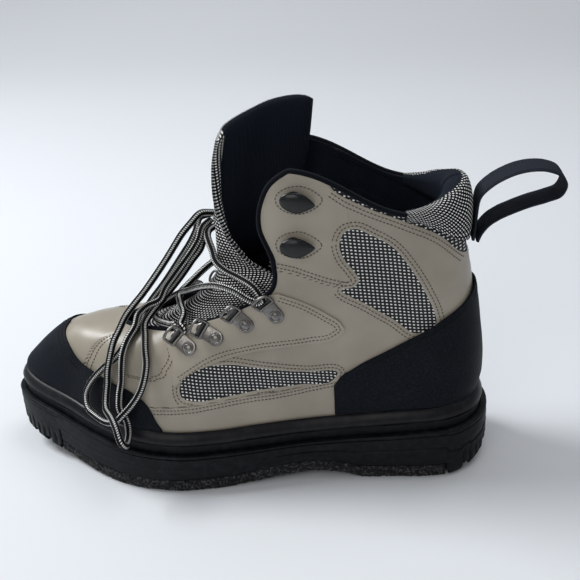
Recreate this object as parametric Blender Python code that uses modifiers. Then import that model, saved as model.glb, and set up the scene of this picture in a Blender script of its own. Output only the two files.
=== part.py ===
# Wading boot for the left foot, standing on its felt sole.
# Metres, +Z up. The toe points to -X, the outer side faces -Y, and the origin is the middle of the heel's
# flat spot on the floor.

import math

import bmesh
import bpy
import numpy as np
from mathutils import Matrix, Vector

# Driving dimensions
SOLE_LENGTH = 0.319
BALL_WIDTH = 0.115
HEEL_BACK = 0.054          # from the origin to the back of the sole
COLLAR_HEIGHT = 0.205      # front corner of the collar above the floor
FELT_THICKNESS = 0.008
LEDGE_DEPTH = 0.004        # how far the ledge steps in above the sole's rim
BAND_HEIGHT = 0.0055       # from the rim to the seat of the upper
STRIP_HEIGHT = 0.0085
UPPER_INSET = 0.0085       # from the sole's outline to the foot of the upper
WALL = 0.0024
OVERLAY = 0.0012           # toe cap, heel counter and facings
INSOLE_THICKNESS = 0.004
TONGUE_THICKNESS = 0.0055
LACE_DIAMETER = 0.0045
WEB_WIDTH = 0.022
WEB_THICKNESS = 0.0018
PLATE_THICKNESS = 0.001
LOOP_WIRE = 0.0018
GAP = 0.0003               # between pieces that touch
OVERLAY_GAP = 0.0006       # between the faceted upper and what lies over it
FELT_INSET = 0.0015
LUG_DEPTH = 0.0028

# Shares of the sole's length, measured from the heel, where the felt starts and stops
FELT_START = 0.086
FELT_END = 0.889
STEP = 0.0012              # share over which the rubber steps down past the felt's end

# The sole in plan: share of length from the heel, middle line and half width as shares of the ball width
SOLE_PLAN = np.array([
    # along  middle  half
    (0.00, 0.000, 0.348),
    (0.17, -0.016, 0.350),
    (0.27, -0.021, 0.352),
    (0.36, -0.022, 0.365),
    (0.45, -0.022, 0.413),
    (0.53, -0.022, 0.465),
    (0.61, -0.020, 0.500),
    (0.67, -0.009, 0.498),
    (0.73, 0.017, 0.496),
    (0.80, 0.065, 0.480),
    (0.87, 0.113, 0.452),
    (1.00, 0.135, 0.452),
])
HEEL_ROUND, HEEL_POWER = 0.13, 2.2
TOE_ROUND, TOE_POWER = 0.36, 1.85

# The sole from the side: share of length, underside and rim above the floor as shares of the sole's length
SOLE_SIDE = np.array([
    # along  tread   rim
    (0.00, 0.0280, 0.1130),
    (0.04, 0.0090, 0.1090),
    (0.10, -0.0030, 0.1060),
    (0.17, -0.0050, 0.1010),
    (0.24, -0.0030, 0.0960),
    (0.30, 0.0120, 0.0910),
    (0.35, 0.0157, 0.0870),
    (0.41, 0.0120, 0.0845),
    (0.48, 0.0040, 0.0825),
    (0.55, -0.0030, 0.0815),
    (0.65, -0.0050, 0.0840),
    (0.74, -0.0010, 0.0895),
    (0.80, 0.0040, 0.0960),
    (0.88, 0.0150, 0.1075),
    (0.94, 0.0270, 0.1165),
    (1.00, 0.0440, 0.1270),
])

# The upper as a stack of rings, each from its front point to its back point.
# front and back along X and nose as shares of the sole's length from the origin; heights as shares of the
# way from the seat on the sole up to the collar's height; widths at three places as shares of the ball width;
# nose is the length over which the front rounds in, power its squareness; swell lifts the front half and drops
# the back half; rim is how far the ring follows the line of the rim and the outline of the sole; swing is how
# far it follows the sole's middle line; open is the throat's edge as a share of the ring's length from the front.
RINGS = np.array([
    # front   back    frontZ backZ  ball   waist  heel   nose   power swell  rim   swing open
    (-0.8040, 0.1426, 0.003, 0.003, 0.422, 0.350, 0.278, 0.342, 1.70, 0.000, 1.00, 1.00, 0.000),
    (-0.8020, 0.1450, 0.072, 0.059, 0.420, 0.345, 0.279, 0.335, 1.75, 0.000, 1.00, 1.00, 0.000),
    (-0.7770, 0.1510, 0.129, 0.115, 0.402, 0.337, 0.283, 0.315, 1.90, 0.000, 0.75, 1.00, 0.000),
    (-0.7430, 0.1520, 0.188, 0.177, 0.372, 0.333, 0.287, 0.300, 2.00, 0.000, 0.45, 0.95, 0.000),
    (-0.6960, 0.1500, 0.238, 0.252, 0.346, 0.330, 0.291, 0.290, 2.00, 0.000, 0.20, 0.88, 0.000),
    (-0.6360, 0.1460, 0.276, 0.327, 0.327, 0.328, 0.294, 0.275, 2.00, 0.000, 0.00, 0.75, 0.000),
    (-0.5640, 0.1410, 0.308, 0.401, 0.315, 0.327, 0.297, 0.250, 2.00, 0.000, 0.00, 0.60, 0.000),
    (-0.5010, 0.1360, 0.338, 0.476, 0.308, 0.326, 0.300, 0.222, 2.00, 0.000, 0.00, 0.45, 0.110),
    (-0.4440, 0.1310, 0.392, 0.557, 0.306, 0.325, 0.303, 0.203, 2.00, 0.002, 0.00, 0.30, 0.200),
    (-0.3950, 0.1250, 0.474, 0.632, 0.308, 0.324, 0.306, 0.182, 2.10, 0.008, 0.00, 0.20, 0.285),
    (-0.3500, 0.1200, 0.598, 0.703, 0.306, 0.322, 0.309, 0.155, 2.30, 0.016, 0.00, 0.10, 0.235),
    (-0.3200, 0.1170, 0.745, 0.766, 0.310, 0.320, 0.312, 0.135, 2.50, 0.030, 0.00, 0.00, 0.135),
    (-0.3020, 0.1150, 0.860, 0.813, 0.314, 0.321, 0.314, 0.128, 2.60, 0.040, 0.00, 0.00, 0.125),
    (-0.2930, 0.1120, 0.955, 0.850, 0.316, 0.322, 0.315, 0.125, 2.60, 0.047, 0.00, 0.00, 0.185),
])
FRONT, BACK, FRONT_Z, BACK_Z, W_BALL, W_WAIST, W_HEEL, NOSE, POWER, SWELL, RIM, SWING, OPEN = range(13)
TAIL = 0.040                           # length over which the heel end of a ring rounds in
TAIL_POWER = 2.2
# The upper's columns on one side, as shares of the turn from the throat's edge to the back
COLUMNS = (0, 0.04, 0.085, 0.13, 0.18, 0.23, 0.28, 0.33, 0.385, 0.44, 0.50, 0.56, 0.615, 0.665, 0.71, 0.755,
           0.80, 0.845, 0.895, 0.945, 1.0)
LEVELS = (0, 1.0, 1.7, 2.4, 3.1, 3.8, 4.6, 5.4, 6.0, 6.3, 6.7, 7.3, 8.0, 8.8, 9.7, 10.7, 11.8, 13.0)
THROAT_START = 6.0
TOP = len(RINGS) - 1.0
EDGE_MARGIN = 0.004                    # turn between the throat's edge and the edge of a panel on it

COLOURS = {
    "felt": (0.055, 0.055, 0.055, 1), "rubber": (0.018, 0.019, 0.021, 1), "leather": (0.36, 0.32, 0.26, 1),
    "cap": (0.02, 0.022, 0.03, 1), "mesh": (0.35, 0.35, 0.36, 1), "knit": (0.015, 0.018, 0.03, 1),
    "steel": (0.35, 0.34, 0.34, 1), "black_metal": (0.03, 0.035, 0.04, 1), "web": (0.012, 0.014, 0.02, 1),
    "lace": (0.12, 0.12, 0.13, 1), "footbed": (0.03, 0.03, 0.035, 1),
}
ROUGHNESS = {"rubber": 0.55, "leather": 0.5, "steel": 0.3, "black_metal": 0.15}
METALLIC = {"steel": 1.0, "black_metal": 0.4}


def through(knots, values, at):
    """Smooth curve through a table: cubic pieces whose slopes are the mean slopes at the knots."""
    knots, values = np.asarray(knots, float), np.asarray(values, float)
    at = np.clip(np.asarray(at, float), knots[0], knots[-1])
    step = np.diff(knots)
    shape = (-1,) + (1,) * (values.ndim - 1)
    rise = np.diff(values, axis=0) / step.reshape(shape)
    inner = (rise[:-1] * step[1:].reshape(shape) + rise[1:] * step[:-1].reshape(shape))
    inner = inner / (step[1:] + step[:-1]).reshape(shape)
    slope = np.concatenate([rise[:1], inner, rise[-1:]])
    i = np.clip(np.searchsorted(knots, at, side="right") - 1, 0, len(step) - 1)
    extra = at.shape + (1,) * (values.ndim - 1)
    u = ((at - knots[i]) / step[i]).reshape(extra)
    h = step[i].reshape(extra)
    return (values[i] * (1 + 2 * u) * (1 - u) ** 2 + values[i + 1] * u * u * (3 - 2 * u)
            + slope[i] * h * u * (1 - u) ** 2 - slope[i + 1] * h * u * u * (1 - u))


def round_end(distance, reach, power):
    """1 away from an end, falling to 0 at the end as a superellipse over the given reach."""
    u = np.clip(1 - np.asarray(distance, float) / reach, 0, 1)
    return (1 - u ** power) ** (1 / power)


def sole_share(x):
    return (HEEL_BACK - x) / SOLE_LENGTH


def sole_middle(share):
    return through(SOLE_PLAN[:, 0], SOLE_PLAN[:, 1], share) * BALL_WIDTH


def sole_half(share):
    half = through(SOLE_PLAN[:, 0], SOLE_PLAN[:, 2], share) * BALL_WIDTH
    return half * round_end(share, HEEL_ROUND, HEEL_POWER) * round_end(1 - share, TOE_ROUND, TOE_POWER)


def tread_height(share):
    return np.maximum(through(SOLE_SIDE[:, 0], SOLE_SIDE[:, 1], share), 0) * SOLE_LENGTH


def rim_height(share):
    return through(SOLE_SIDE[:, 0], SOLE_SIDE[:, 2], share) * SOLE_LENGTH


def seat_height(share):
    return rim_height(share) + BAND_HEIGHT


# New objects

def material(name):
    found = bpy.data.materials.get(name)
    if found:
        return found
    made = bpy.data.materials.new(name)
    made.use_nodes = True
    shader = made.node_tree.nodes["Principled BSDF"]
    shader.inputs["Base Color"].default_value = COLOURS[name]
    shader.inputs["Roughness"].default_value = ROUGHNESS.get(name, 0.85)
    shader.inputs["Metallic"].default_value = METALLIC.get(name, 0.0)
    return made


def add_object(name, mesh, finish, smooth_below=50):
    mesh.materials.append(material(finish))
    made = bpy.data.objects.new(name, mesh)
    boot.objects.link(made)
    mesh.shade_smooth()
    mesh.set_sharp_from_angle(angle=math.radians(smooth_below))
    return made


def mesh_of(name, points, faces):
    """A mesh from points and faces with coincident points merged and flat faces removed."""
    mesh = bpy.data.meshes.new(name)
    mesh.from_pydata([tuple(p) for p in points], [], faces)
    form = bmesh.new()
    form.from_mesh(mesh)
    bmesh.ops.remove_doubles(form, verts=form.verts, dist=1e-6)
    bmesh.ops.dissolve_degenerate(form, edges=form.edges, dist=1e-6)
    form.to_mesh(mesh)
    form.free()
    return mesh


def grid_faces(rows, columns, closed=False):
    """Quads over a grid of points in row order; closed joins each row's last point to its first."""
    faces = []
    for r in range(rows - 1):
        for c in range(columns if closed else columns - 1):
            d = (c + 1) % columns
            faces.append((r * columns + c, r * columns + d, (r + 1) * columns + d, (r + 1) * columns + c))
    return faces


def turn_outwards(mesh):
    form = bmesh.new()
    form.from_mesh(mesh)
    bmesh.ops.recalc_face_normals(form, faces=form.faces)
    form.to_mesh(mesh)
    form.free()


def loft(name, sections, finish, closed=False, smooth_below=50):
    """A solid through closed sections with the same number of points, capped unless it closes on itself."""
    count, around = len(sections), len(sections[0])
    points = np.concatenate(sections)
    faces = grid_faces(count, around, closed=True)
    if closed:
        last = (count - 1) * around
        faces += [(last + c, last + (c + 1) % around, (c + 1) % around, c) for c in range(around)]
    else:
        faces.append(tuple(range(around)))
        faces.append(tuple((count - 1) * around + c for c in range(around)))
    mesh = mesh_of(name, points, faces)
    turn_outwards(mesh)
    return add_object(name, mesh, finish, smooth_below)


def skin(name, grid, thickness, finish, outwards=True, smooth_below=50):
    """An open sheet over a grid of points, given its thickness by Solidify."""
    rows, columns = grid.shape[:2]
    mesh = mesh_of(name, grid.reshape(-1, 3), grid_faces(rows, columns))
    made = add_object(name, mesh, finish, smooth_below)
    wall = made.modifiers.new("Wall", "SOLIDIFY")
    wall.thickness = thickness
    wall.offset = 1.0 if outwards else -1.0
    wall.use_even_offset = True
    return made


def tube(name, points, diameter, finish, resolution=2):
    """A round cord along points, as a curve with a bevel and filled caps."""
    curve = bpy.data.curves.new(name, "CURVE")
    curve.dimensions = "3D"
    curve.bevel_depth = diameter / 2
    curve.bevel_resolution = resolution
    curve.use_fill_caps = True
    line = curve.splines.new("POLY")
    line.points.add(len(points) - 1)
    for knot, place in zip(line.points, points):
        knot.co = (*place, 1)
    curve.materials.append(material(finish))
    made = bpy.data.objects.new(name, curve)
    boot.objects.link(made)
    return made


def as_mesh(made, finish):
    """The evaluated form of a curve as a mesh object of the same name, with its caps welded."""
    bpy.context.view_layer.update()
    view = bpy.context.evaluated_depsgraph_get()
    mesh = bpy.data.meshes.new_from_object(made.evaluated_get(view))
    form = bmesh.new()
    form.from_mesh(mesh)
    bmesh.ops.remove_doubles(form, verts=form.verts, dist=1e-6)
    bmesh.ops.recalc_face_normals(form, faces=form.faces)
    form.to_mesh(mesh)
    form.free()
    name, place = made.name, made.matrix_world.copy()
    bpy.data.objects.remove(made)
    mesh.materials.clear()
    new = add_object(name, mesh, finish)
    new.matrix_world = place
    return new


def cut_or_join(made, other, operation):
    change = made.modifiers.new(operation.title(), "BOOLEAN")
    change.operation = operation
    change.object = other
    tools.objects.link(other)
    boot.objects.unlink(other)
    other.hide_render = True
    other.display_type = "WIRE"


def spaced_along(points, spacing):
    """Points a fixed distance apart on a smooth curve through the given ones."""
    points = np.asarray(points, float)
    reach = np.concatenate([[0], np.cumsum(np.linalg.norm(np.diff(points, axis=0), axis=1))])
    fine = through(reach, points, np.linspace(0, reach[-1], 40 * len(points)))
    length = np.concatenate([[0], np.cumsum(np.linalg.norm(np.diff(fine, axis=0), axis=1))])
    count = max(int(round(length[-1] / spacing)), 2)
    at = np.linspace(0, length[-1], count + 1)
    return np.stack([np.interp(at, length, fine[:, k]) for k in range(3)], axis=1)


# The sole

def sole_stations(start=0.0, end=1.0, extra=()):
    """Shares along the sole, closer together towards its round ends, with extra ones for steps."""
    even = (1 - np.cos(np.linspace(0, math.pi, 25))) / 2
    kept = even[(even > start) & (even < end)]
    return np.unique(np.concatenate([[start], kept, [end], np.asarray(extra, float)]))


def sole_ring(stations, inset, height):
    """Outline of the sole moved in by an inset, lateral side first, at heights given by a function."""
    def side(sign):
        near = np.clip(stations + np.array([[-1e-4], [0], [1e-4]]), 0, 1)
        x = HEEL_BACK - near * SOLE_LENGTH
        y = sole_middle(near) + sign * sole_half(near)
        along = np.stack([x[2] - x[0], y[2] - y[0]], axis=1)
        along /= np.linalg.norm(along, axis=1)[:, None]
        inwards = np.stack([-along[:, 1], along[:, 0]], axis=1) * (1 if sign > 0 else -1)
        return np.stack([x[1], y[1]], axis=1) + inwards * inset
    lateral, medial = side(-1), side(1)
    for end in (0, -1):
        if sole_half(stations[end]) < 1e-6:
            tip = np.array([HEEL_BACK - stations[end] * SOLE_LENGTH + (-inset if end == 0 else inset),
                            sole_middle(stations[end])])
            lateral[end] = medial[end] = tip
    plan = np.concatenate([lateral, medial[::-1]])
    share = sole_share(plan[:, 0])
    return np.column_stack([plan, height(np.concatenate([stations, stations[::-1]]), share)])


def sole_slab(name, stations, levels, finish):
    """A solid through rings of the sole's outline, each an inset and a height function."""
    rings = [sole_ring(stations, inset, height) for inset, height in levels]
    count, around = len(stations), 2 * len(stations)
    faces = grid_faces(len(rings), around, closed=True)
    for base in (0, (len(rings) - 1) * around):
        for k in range(count - 1):
            faces.append((base + k, base + k + 1, base + around - 2 - k, base + around - 1 - k))
    mesh = mesh_of(name, np.concatenate(rings), faces)
    turn_outwards(mesh)
    return add_object(name, mesh, finish, 35)


def lug_edges(first, last, count):
    """Shares where a row of knobs rises and falls, each knob as wide as one and a half gaps."""
    pitch = (last - first) / (count - 0.4)
    rises = first + pitch * np.arange(count)
    return rises, rises + pitch * 0.6


HEEL_LUGS = lug_edges(0.012, FELT_START - 0.006, 2)
TOE_LUGS = lug_edges(FELT_END + 0.006, 0.985, 3)


def rubber_underside(station, share):
    """Over the felt its top face, and past its ends the tread with its knobs."""
    over_felt = tread_height(share) + FELT_THICKNESS + GAP
    knob = np.zeros_like(station)
    for rises, falls in (HEEL_LUGS, TOE_LUGS):
        for rise, fall in zip(rises, falls):
            knob += np.where((station >= rise) & (station <= fall), 1.0, 0.0)
    bumper = tread_height(share) + LUG_DEPTH * (1 - knob) + GAP
    inside = (station >= FELT_START) & (station <= FELT_END)
    return np.where(inside, over_felt, bumper)


def build_sole():
    steps = [FELT_START - STEP, FELT_START, FELT_END, FELT_END + STEP]
    for rises, falls in (HEEL_LUGS, TOE_LUGS):
        steps += [v for pair in zip(rises, falls) for v in (pair[0] - STEP, pair[0], pair[1], pair[1] + STEP)]
    stations = sole_stations(extra=steps)
    sole_slab("outsole_rubber", stations, [
        (FELT_INSET, rubber_underside),
        (0.0, lambda at, share: np.maximum(rubber_underside(at, share) + 0.002, tread_height(share) + 0.006)),
        (0.0, lambda at, share: rim_height(share) - 0.001),
        (0.0010, lambda at, share: rim_height(share)),
        (LEDGE_DEPTH, lambda at, share: rim_height(share) - 0.0004),
        (LEDGE_DEPTH, lambda at, share: seat_height(share)),
    ], "rubber")
    gap = GAP / SOLE_LENGTH
    felt = sole_stations(FELT_START + gap, FELT_END - gap)
    sole_slab("outsole_felt", felt, [
        (FELT_INSET + 0.001, lambda at, share: tread_height(share)),
        (FELT_INSET, lambda at, share: tread_height(share) + FELT_THICKNESS * 0.3),
        (FELT_INSET, lambda at, share: tread_height(share) + FELT_THICKNESS),
    ], "felt")
    inner = UPPER_INSET + WALL + 2 * GAP + 0.001
    sole_slab("insole", sole_stations(), [
        (inner, lambda at, share: seat_height(share) + GAP),
        (inner, lambda at, share: seat_height(share) + INSOLE_THICKNESS - 0.001),
        (inner + 0.001, lambda at, share: seat_height(share) + INSOLE_THICKNESS),
    ], "footbed")


# The upper

SEAT_AT_TOE, SEAT_AT_HEEL = seat_height(0.973), seat_height(0.027)


def height_of(share, seat=SEAT_AT_TOE):
    """Height above the floor at a share of the way from the seat up to the collar's height."""
    return seat + (COLLAR_HEIGHT - seat) * share


def placed(points):
    """Places from shares: of the sole's length, of the ball width, and of the way from seat to collar."""
    points = np.asarray(points, float)
    return np.stack([points[..., 0] * SOLE_LENGTH, points[..., 1] * BALL_WIDTH, height_of(points[..., 2])], axis=-1)


def foot_plan(side):
    """The foot of the upper on one side: shares from front to back and places across."""
    ring = sole_ring(sole_stations(extra=np.linspace(0.02, 0.98, 60)), UPPER_INSET, lambda at, share: share * 0)
    half = ring[:len(ring) // 2] if side < 0 else ring[:len(ring) // 2 - 1:-1]
    half = half[::-1]
    share = (half[:, 0] - half[0, 0]) / (half[-1, 0] - half[0, 0])
    order = np.argsort(share)
    return share[order], half[order, 1]


FOOT = {side: foot_plan(side) for side in (-1, 1)}


def foot_across(share, side):
    lateral = np.interp(share, *FOOT[-1])
    return np.where(side < 0, lateral, np.interp(share, *FOOT[1]))


def ring_values(level):
    return through(np.arange(len(RINGS)), RINGS, level)


def ring_point(level, turn):
    """Point of the upper's outer face: level counts rings, turn runs from 0 at the front to -1 at the back
    by the outer side and to 1 by the inner side."""
    level, turn = np.broadcast_arrays(np.asarray(level, float), np.asarray(turn, float))
    v = ring_values(level)
    share = (1 - np.cos(math.pi * np.abs(turn))) / 2
    front, back = v[..., FRONT] * SOLE_LENGTH, v[..., BACK] * SOLE_LENGTH
    x = front + share * (back - front)
    length = back - front
    ball, waist, heel = 0.30, 0.55, 0.80       # where along a ring its three widths lie
    bell = [np.clip(1 - np.abs(share - at) / (waist - ball), 0, 1) for at in (ball, waist, heel)]
    bell[0] = np.where(share < ball, 1.0, bell[0])
    bell[2] = np.where(share > heel, 1.0, bell[2])
    soft = [b * b * (3 - 2 * b) for b in bell]
    width = sum(s * v[..., k] for s, k in zip(soft, (W_BALL, W_WAIST, W_HEEL))) * BALL_WIDTH
    half = width * round_end(share * length, v[..., NOSE] * SOLE_LENGTH, v[..., POWER])
    half = half * round_end((1 - share) * length, TAIL, TAIL_POWER)
    y = sole_middle(sole_share(x)) * v[..., SWING] + np.sign(turn) * half
    y = y + v[..., RIM] * (foot_across(share, turn) - y)
    straight = seat_height(sole_share(front)) * (1 - share) + seat_height(sole_share(back)) * share
    z = height_of(v[..., FRONT_Z]) * (1 - share) + height_of(v[..., BACK_Z], SEAT_AT_HEEL) * share
    z = z + COLLAR_HEIGHT * v[..., SWELL] * np.sin(2 * math.pi * share)
    return np.stack([x, y, z + v[..., RIM] * (seat_height(sole_share(x)) - straight)], axis=-1)


def wall_point(level, turn, out=0.0):
    """Point at a distance outside the upper's outer face, or inside it when negative."""
    level, turn = np.broadcast_arrays(np.asarray(level, float), np.asarray(turn, float))
    d = 0.01
    up = ring_point(np.minimum(level + d, TOP), turn) - ring_point(np.maximum(level - d, 0), turn)
    near = np.clip(turn, -1 + d, 1 - d)
    along = ring_point(level, near + d) - ring_point(level, near - d)
    normal = np.cross(up, along)
    normal /= np.linalg.norm(normal, axis=-1)[..., None]
    return ring_point(level, turn) + normal * np.asarray(out, float)[..., None]


def turn_at(share):
    return np.arccos(1 - 2 * np.clip(share, 0, 1)) / math.pi


def edge_turn(level):
    """Turn of the throat's edge at a level, 0 below the throat."""
    return turn_at(np.maximum(ring_values(level)[..., OPEN], 0))


def turns_round_back(start, shares):
    """Turns from a start on the outer side round the back to its mirror. The shares count from the front,
    and a start further back crowds the columns beside it and leaves those at the heel in place."""
    shares = np.asarray(shares, float)
    lateral = -(shares + start * (1 - shares) ** 2)
    return np.concatenate([lateral, -lateral[-2::-1]])


def build_upper():
    grid = []
    for level in LEVELS:
        edge = edge_turn(level) if level > THROAT_START else 0.0
        grid.append(ring_point(level, turns_round_back(edge, COLUMNS)))
    skin("upper", np.array(grid), WALL, "leather", outwards=False)


def overlay(name, levels, reach, finish, columns, thickness=OVERLAY):
    """A sheet over the upper: at each level it spans a pair of turns."""
    grid = [wall_point(level, np.linspace(*span, columns), OVERLAY_GAP) for level, span in zip(levels, reach)]
    return skin(name, np.array(grid)[:, ::-1], thickness, finish)


# Upper edges of the toe cap and the heel counter, as turn and ring level
CAP_TOP = np.array([(0.0, 4.12), (0.04, 3.98), (0.14, 3.55), (0.21, 3.03), (0.285, 2.74), (0.340, 2.5),
                    (0.372, 2.05), (0.386, 1.55)])
COUNTER_TOP = np.array([(0.620, 3.1), (0.640, 3.7), (0.684, 4.5), (0.729, 5.3), (0.786, 6.05), (0.865, 6.65),
                        (0.935, 6.98), (1.0, 7.08)])
OVERLAY_FOOT = 1.12        # level of their lower edges, above the strip
# Edges of the facing that carries the lace loops, as ring level and turn
FACING_FRONT = np.array([(4.3, 0.352), (5.0, 0.325), (5.9, 0.275), (6.5, 0.235), (7.0, 0.222)])
FACING_BACK = np.array([(4.3, 0.432), (4.95, 0.472), (5.45, 0.547), (5.85, 0.587), (6.4, 0.587), (7.2, 0.557),
                        (8.2, 0.477), (8.8, 0.405)])
FACING_TURN = 7.0          # above this level its front edge runs beside the throat


def read_edge(edge, at):
    return through(edge[:, 0], edge[:, 1], at)


def overlay_under_edge(name, top, turns, rows):
    """A sheet over the upper from its foot to a top edge given over the turns."""
    share = np.linspace(0, 1, rows)[:, None]
    levels = OVERLAY_FOOT + share * (read_edge(top, np.abs(turns)) - OVERLAY_FOOT)
    skin(name, wall_point(levels, turns, OVERLAY_GAP), OVERLAY, "cap")


def build_overlays():
    cap = np.linspace(CAP_TOP[-1, 0], 0, 11)
    overlay_under_edge("toe_cap", CAP_TOP, np.concatenate([cap, -cap[-2::-1]]), 9)
    counter = np.linspace(COUNTER_TOP[0, 0], 1, 11)
    overlay_under_edge("heel_counter", COUNTER_TOP, np.concatenate([-counter, counter[-2::-1]]), 9)
    levels = np.linspace(FACING_BACK[0, 0], FACING_BACK[-1, 0], 11)
    front = np.where(levels < FACING_TURN, read_edge(FACING_FRONT, levels), edge_turn(levels) + EDGE_MARGIN)
    for side, where in ((-1, "outer"), (1, "inner")):
        overlay("facing_" + where, levels, sorted_reach(front, read_edge(FACING_BACK, levels), side),
                "leather", 6)


def sorted_reach(front, back, side):
    """Pairs of turns in rising order, on the outer side (-1) or the inner side (1)."""
    return [(min(side * f, side * b), max(side * f, side * b)) for f, b in zip(front, back)]


def build_strip():
    """The rounded strip: each section leans on the upper's foot and stands over the band."""
    stations = sole_stations()
    levels = [
        (LEDGE_DEPTH - 0.0002, 0.0003), (LEDGE_DEPTH - 0.0008, 0.0020), (LEDGE_DEPTH - 0.0002, 0.0050),
        (LEDGE_DEPTH + 0.0012, 0.0076), (LEDGE_DEPTH + 0.0026, STRIP_HEIGHT),
        (UPPER_INSET - GAP - 0.0004, STRIP_HEIGHT - 0.0006), (UPPER_INSET - GAP - 0.0004, 0.0003),
    ]
    rings = [sole_ring(stations, inset, lambda at, share, rise=rise: seat_height(share) + rise)
             for inset, rise in levels]
    sections = [np.array([ring[k] for ring in rings]) for k in range(len(rings[0]))]
    keep = [k for k in range(len(sections)) if k not in (len(stations), 2 * len(stations) - 1)]
    return loft("rand_strip", [sections[k] for k in keep], "rubber", closed=True, smooth_below=60)


# The collar, the tongue and the pull loop

ROLL_START = 0.660         # turn at which the padded roll begins on either side
ROLL_SEAM = np.array([(-0.010, 0.808), (0.030, 0.783), (0.063, 0.742), (0.100, 0.674), (0.1235, 0.623)])
# The roll's section: place out from the wall's outer face and height, both for a full roll; a height below
# zero is measured down from the top edge, and OUTER_SHARE counts up the outer leg from its seam
ROLL_OUTER = np.array([(0.0, 0.0010), (0.25, 0.0032), (0.5, 0.0044), (0.75, 0.0048), (1.0, 0.0042)])
ROLL_OVER = np.array([(0.0026, 0.0044), (-0.0015, 0.0062), (-0.0060, 0.0050), (-0.0092, 0.0010),
                      (-0.0100, -0.0070), (-0.0085, -0.0150), (-0.0045, -0.0205)])


def at_height(turn, z, out):
    """Point at a height beside the wall; above the top edge it goes straight up from there."""
    levels = np.linspace(6, TOP, 120)
    heights = ring_point(levels, turn)[:, 2]
    top = heights[-1]
    level = np.interp(min(z, top), heights, levels)
    return wall_point(level, turn, out) + np.array([0, 0, max(z - top, 0)])


def roll_section(turn):
    full = 0.22 + 0.78 * math.sin(math.pi / 2 * (abs(turn) - ROLL_START) / (1 - ROLL_START))
    x, _, top = ring_point(TOP, turn)
    seam = height_of(np.interp(x / SOLE_LENGTH, ROLL_SEAM[:, 0], ROLL_SEAM[:, 1]))
    seam = min(seam, top - 0.004)
    low = OVERLAY_GAP
    points = [at_height(turn, seam + share * (top - seam), low + full * out) for share, out in ROLL_OUTER]
    points += [at_height(turn, top + full * up + (low if up > 0 else 0), full * out - (WALL if out < 0 else 0))
               for out, up in ROLL_OVER]
    hem = full * ROLL_OVER[-1, 1] + 0.0006
    for share in (1.0, 0.5):
        points.append(at_height(turn, top + hem * share, -WALL - low))
    points.append(at_height(turn, top + low, -WALL - low))
    points.append(at_height(turn, top + low, low))
    points.append(at_height(turn, (top + seam) / 2, low))
    points.append(at_height(turn, seam, low))
    return np.array(points)


def build_roll():
    turns = np.linspace(ROLL_START, 1, 9)
    turns = np.concatenate([-turns, turns[-2::-1]])
    loft("collar_roll", [roll_section(t) for t in turns], "mesh", smooth_below=70)


# The free part of the tongue's front face: five places from its outer edge to its inner edge on each row, as
# shares of the sole's length, of the ball width, and of the way from seat to collar
TONGUE_ROWS = np.array([
    ((-0.288, -0.226, 0.617), (-0.350, -0.122, 0.614), (-0.342, 0.017, 0.611), (-0.304, 0.148, 0.620),
     (-0.226, 0.205, 0.649)),
    ((-0.322, -0.195, 0.694), (-0.353, -0.117, 0.701), (-0.334, 0.017, 0.707), (-0.292, 0.139, 0.726),
     (-0.205, 0.213, 0.757)),
    ((-0.346, -0.155, 0.809), (-0.350, -0.070, 0.819), (-0.323, 0.035, 0.832), (-0.276, 0.148, 0.854),
     (-0.186, 0.213, 0.879)),
    ((-0.350, -0.113, 0.955), (-0.339, -0.035, 0.972), (-0.307, 0.052, 0.988), (-0.260, 0.148, 1.009),
     (-0.172, 0.204, 1.025)),
    ((-0.336, -0.070, 1.092), (-0.318, -0.009, 1.118), (-0.282, 0.074, 1.146), (-0.238, 0.143, 1.171),
     (-0.160, 0.180, 1.192)),
])
TONGUE_UNDER = ((6.15, 0.13), (6.7, 0.20), (7.3, 0.285), (8.0, 0.335), (8.7, 0.375), (9.2, 0.385))
TONGUE_BELOW = WALL + 0.0012           # the tongue's face under the upper's outer face


def tongue_grid(rows=15, columns=9):
    across = np.linspace(-1, 1, columns)
    lines = [wall_point(level, turn * across, -TONGUE_BELOW) for level, turn in TONGUE_UNDER]
    for row in placed(TONGUE_ROWS):
        lines.append(through(np.linspace(-1, 1, len(row)), row, across))
    lines = np.array(lines)
    centre = lines[:, columns // 2]
    reach = np.concatenate([[0], np.cumsum(np.linalg.norm(np.diff(centre, axis=0), axis=1))])
    return through(reach, lines, np.linspace(0, reach[-1], rows))


def build_tongue():
    skin("tongue", tongue_grid()[:, ::-1], TONGUE_THICKNESS, "knit", outwards=False)


# The middle line of the webbing after it leaves the roll, as places behind and above that point in metres:
# out and up, round the end and back to the seam outside its first leg
WEB_LINE = np.array([(0.0022, 0.0110), (0.0082, 0.0172), (0.0157, 0.0218), (0.0232, 0.0248), (0.0312, 0.0262),
                     (0.0402, 0.0256), (0.0475, 0.0222), (0.0503, 0.0166), (0.0480, 0.0108), (0.0402, 0.0074),
                     (0.0302, 0.0044), (0.0212, 0.0009), (0.0132, -0.0028), (0.0068, -0.0074),
                     (0.0028, -0.0128), (0.0010, -0.0172)])
WEB_SPACING = 0.006


def build_pull_loop():
    seat = np.array([GAP + WEB_THICKNESS / 2, 0, 0])
    against = roll_section(1.0)[:3] + seat
    loop = np.column_stack([WEB_LINE[:, 0], np.zeros(len(WEB_LINE)), WEB_LINE[:, 1]]) + against[-1]
    line = spaced_along(np.concatenate([against, loop]), WEB_SPACING)
    along = np.gradient(line, axis=0)
    along /= np.linalg.norm(along, axis=1)[:, None]
    aside = np.column_stack([-along[:, 2], np.zeros(len(line)), along[:, 0]]) * WEB_THICKNESS / 2
    half = np.array([0, WEB_WIDTH / 2, 0])
    sections = [np.array([p - a - half, p + a - half, p + a + half, p - a + half]) for p, a in zip(line, aside)]
    loft("pull_loop", sections, "web", smooth_below=40)


# The hardware

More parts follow.
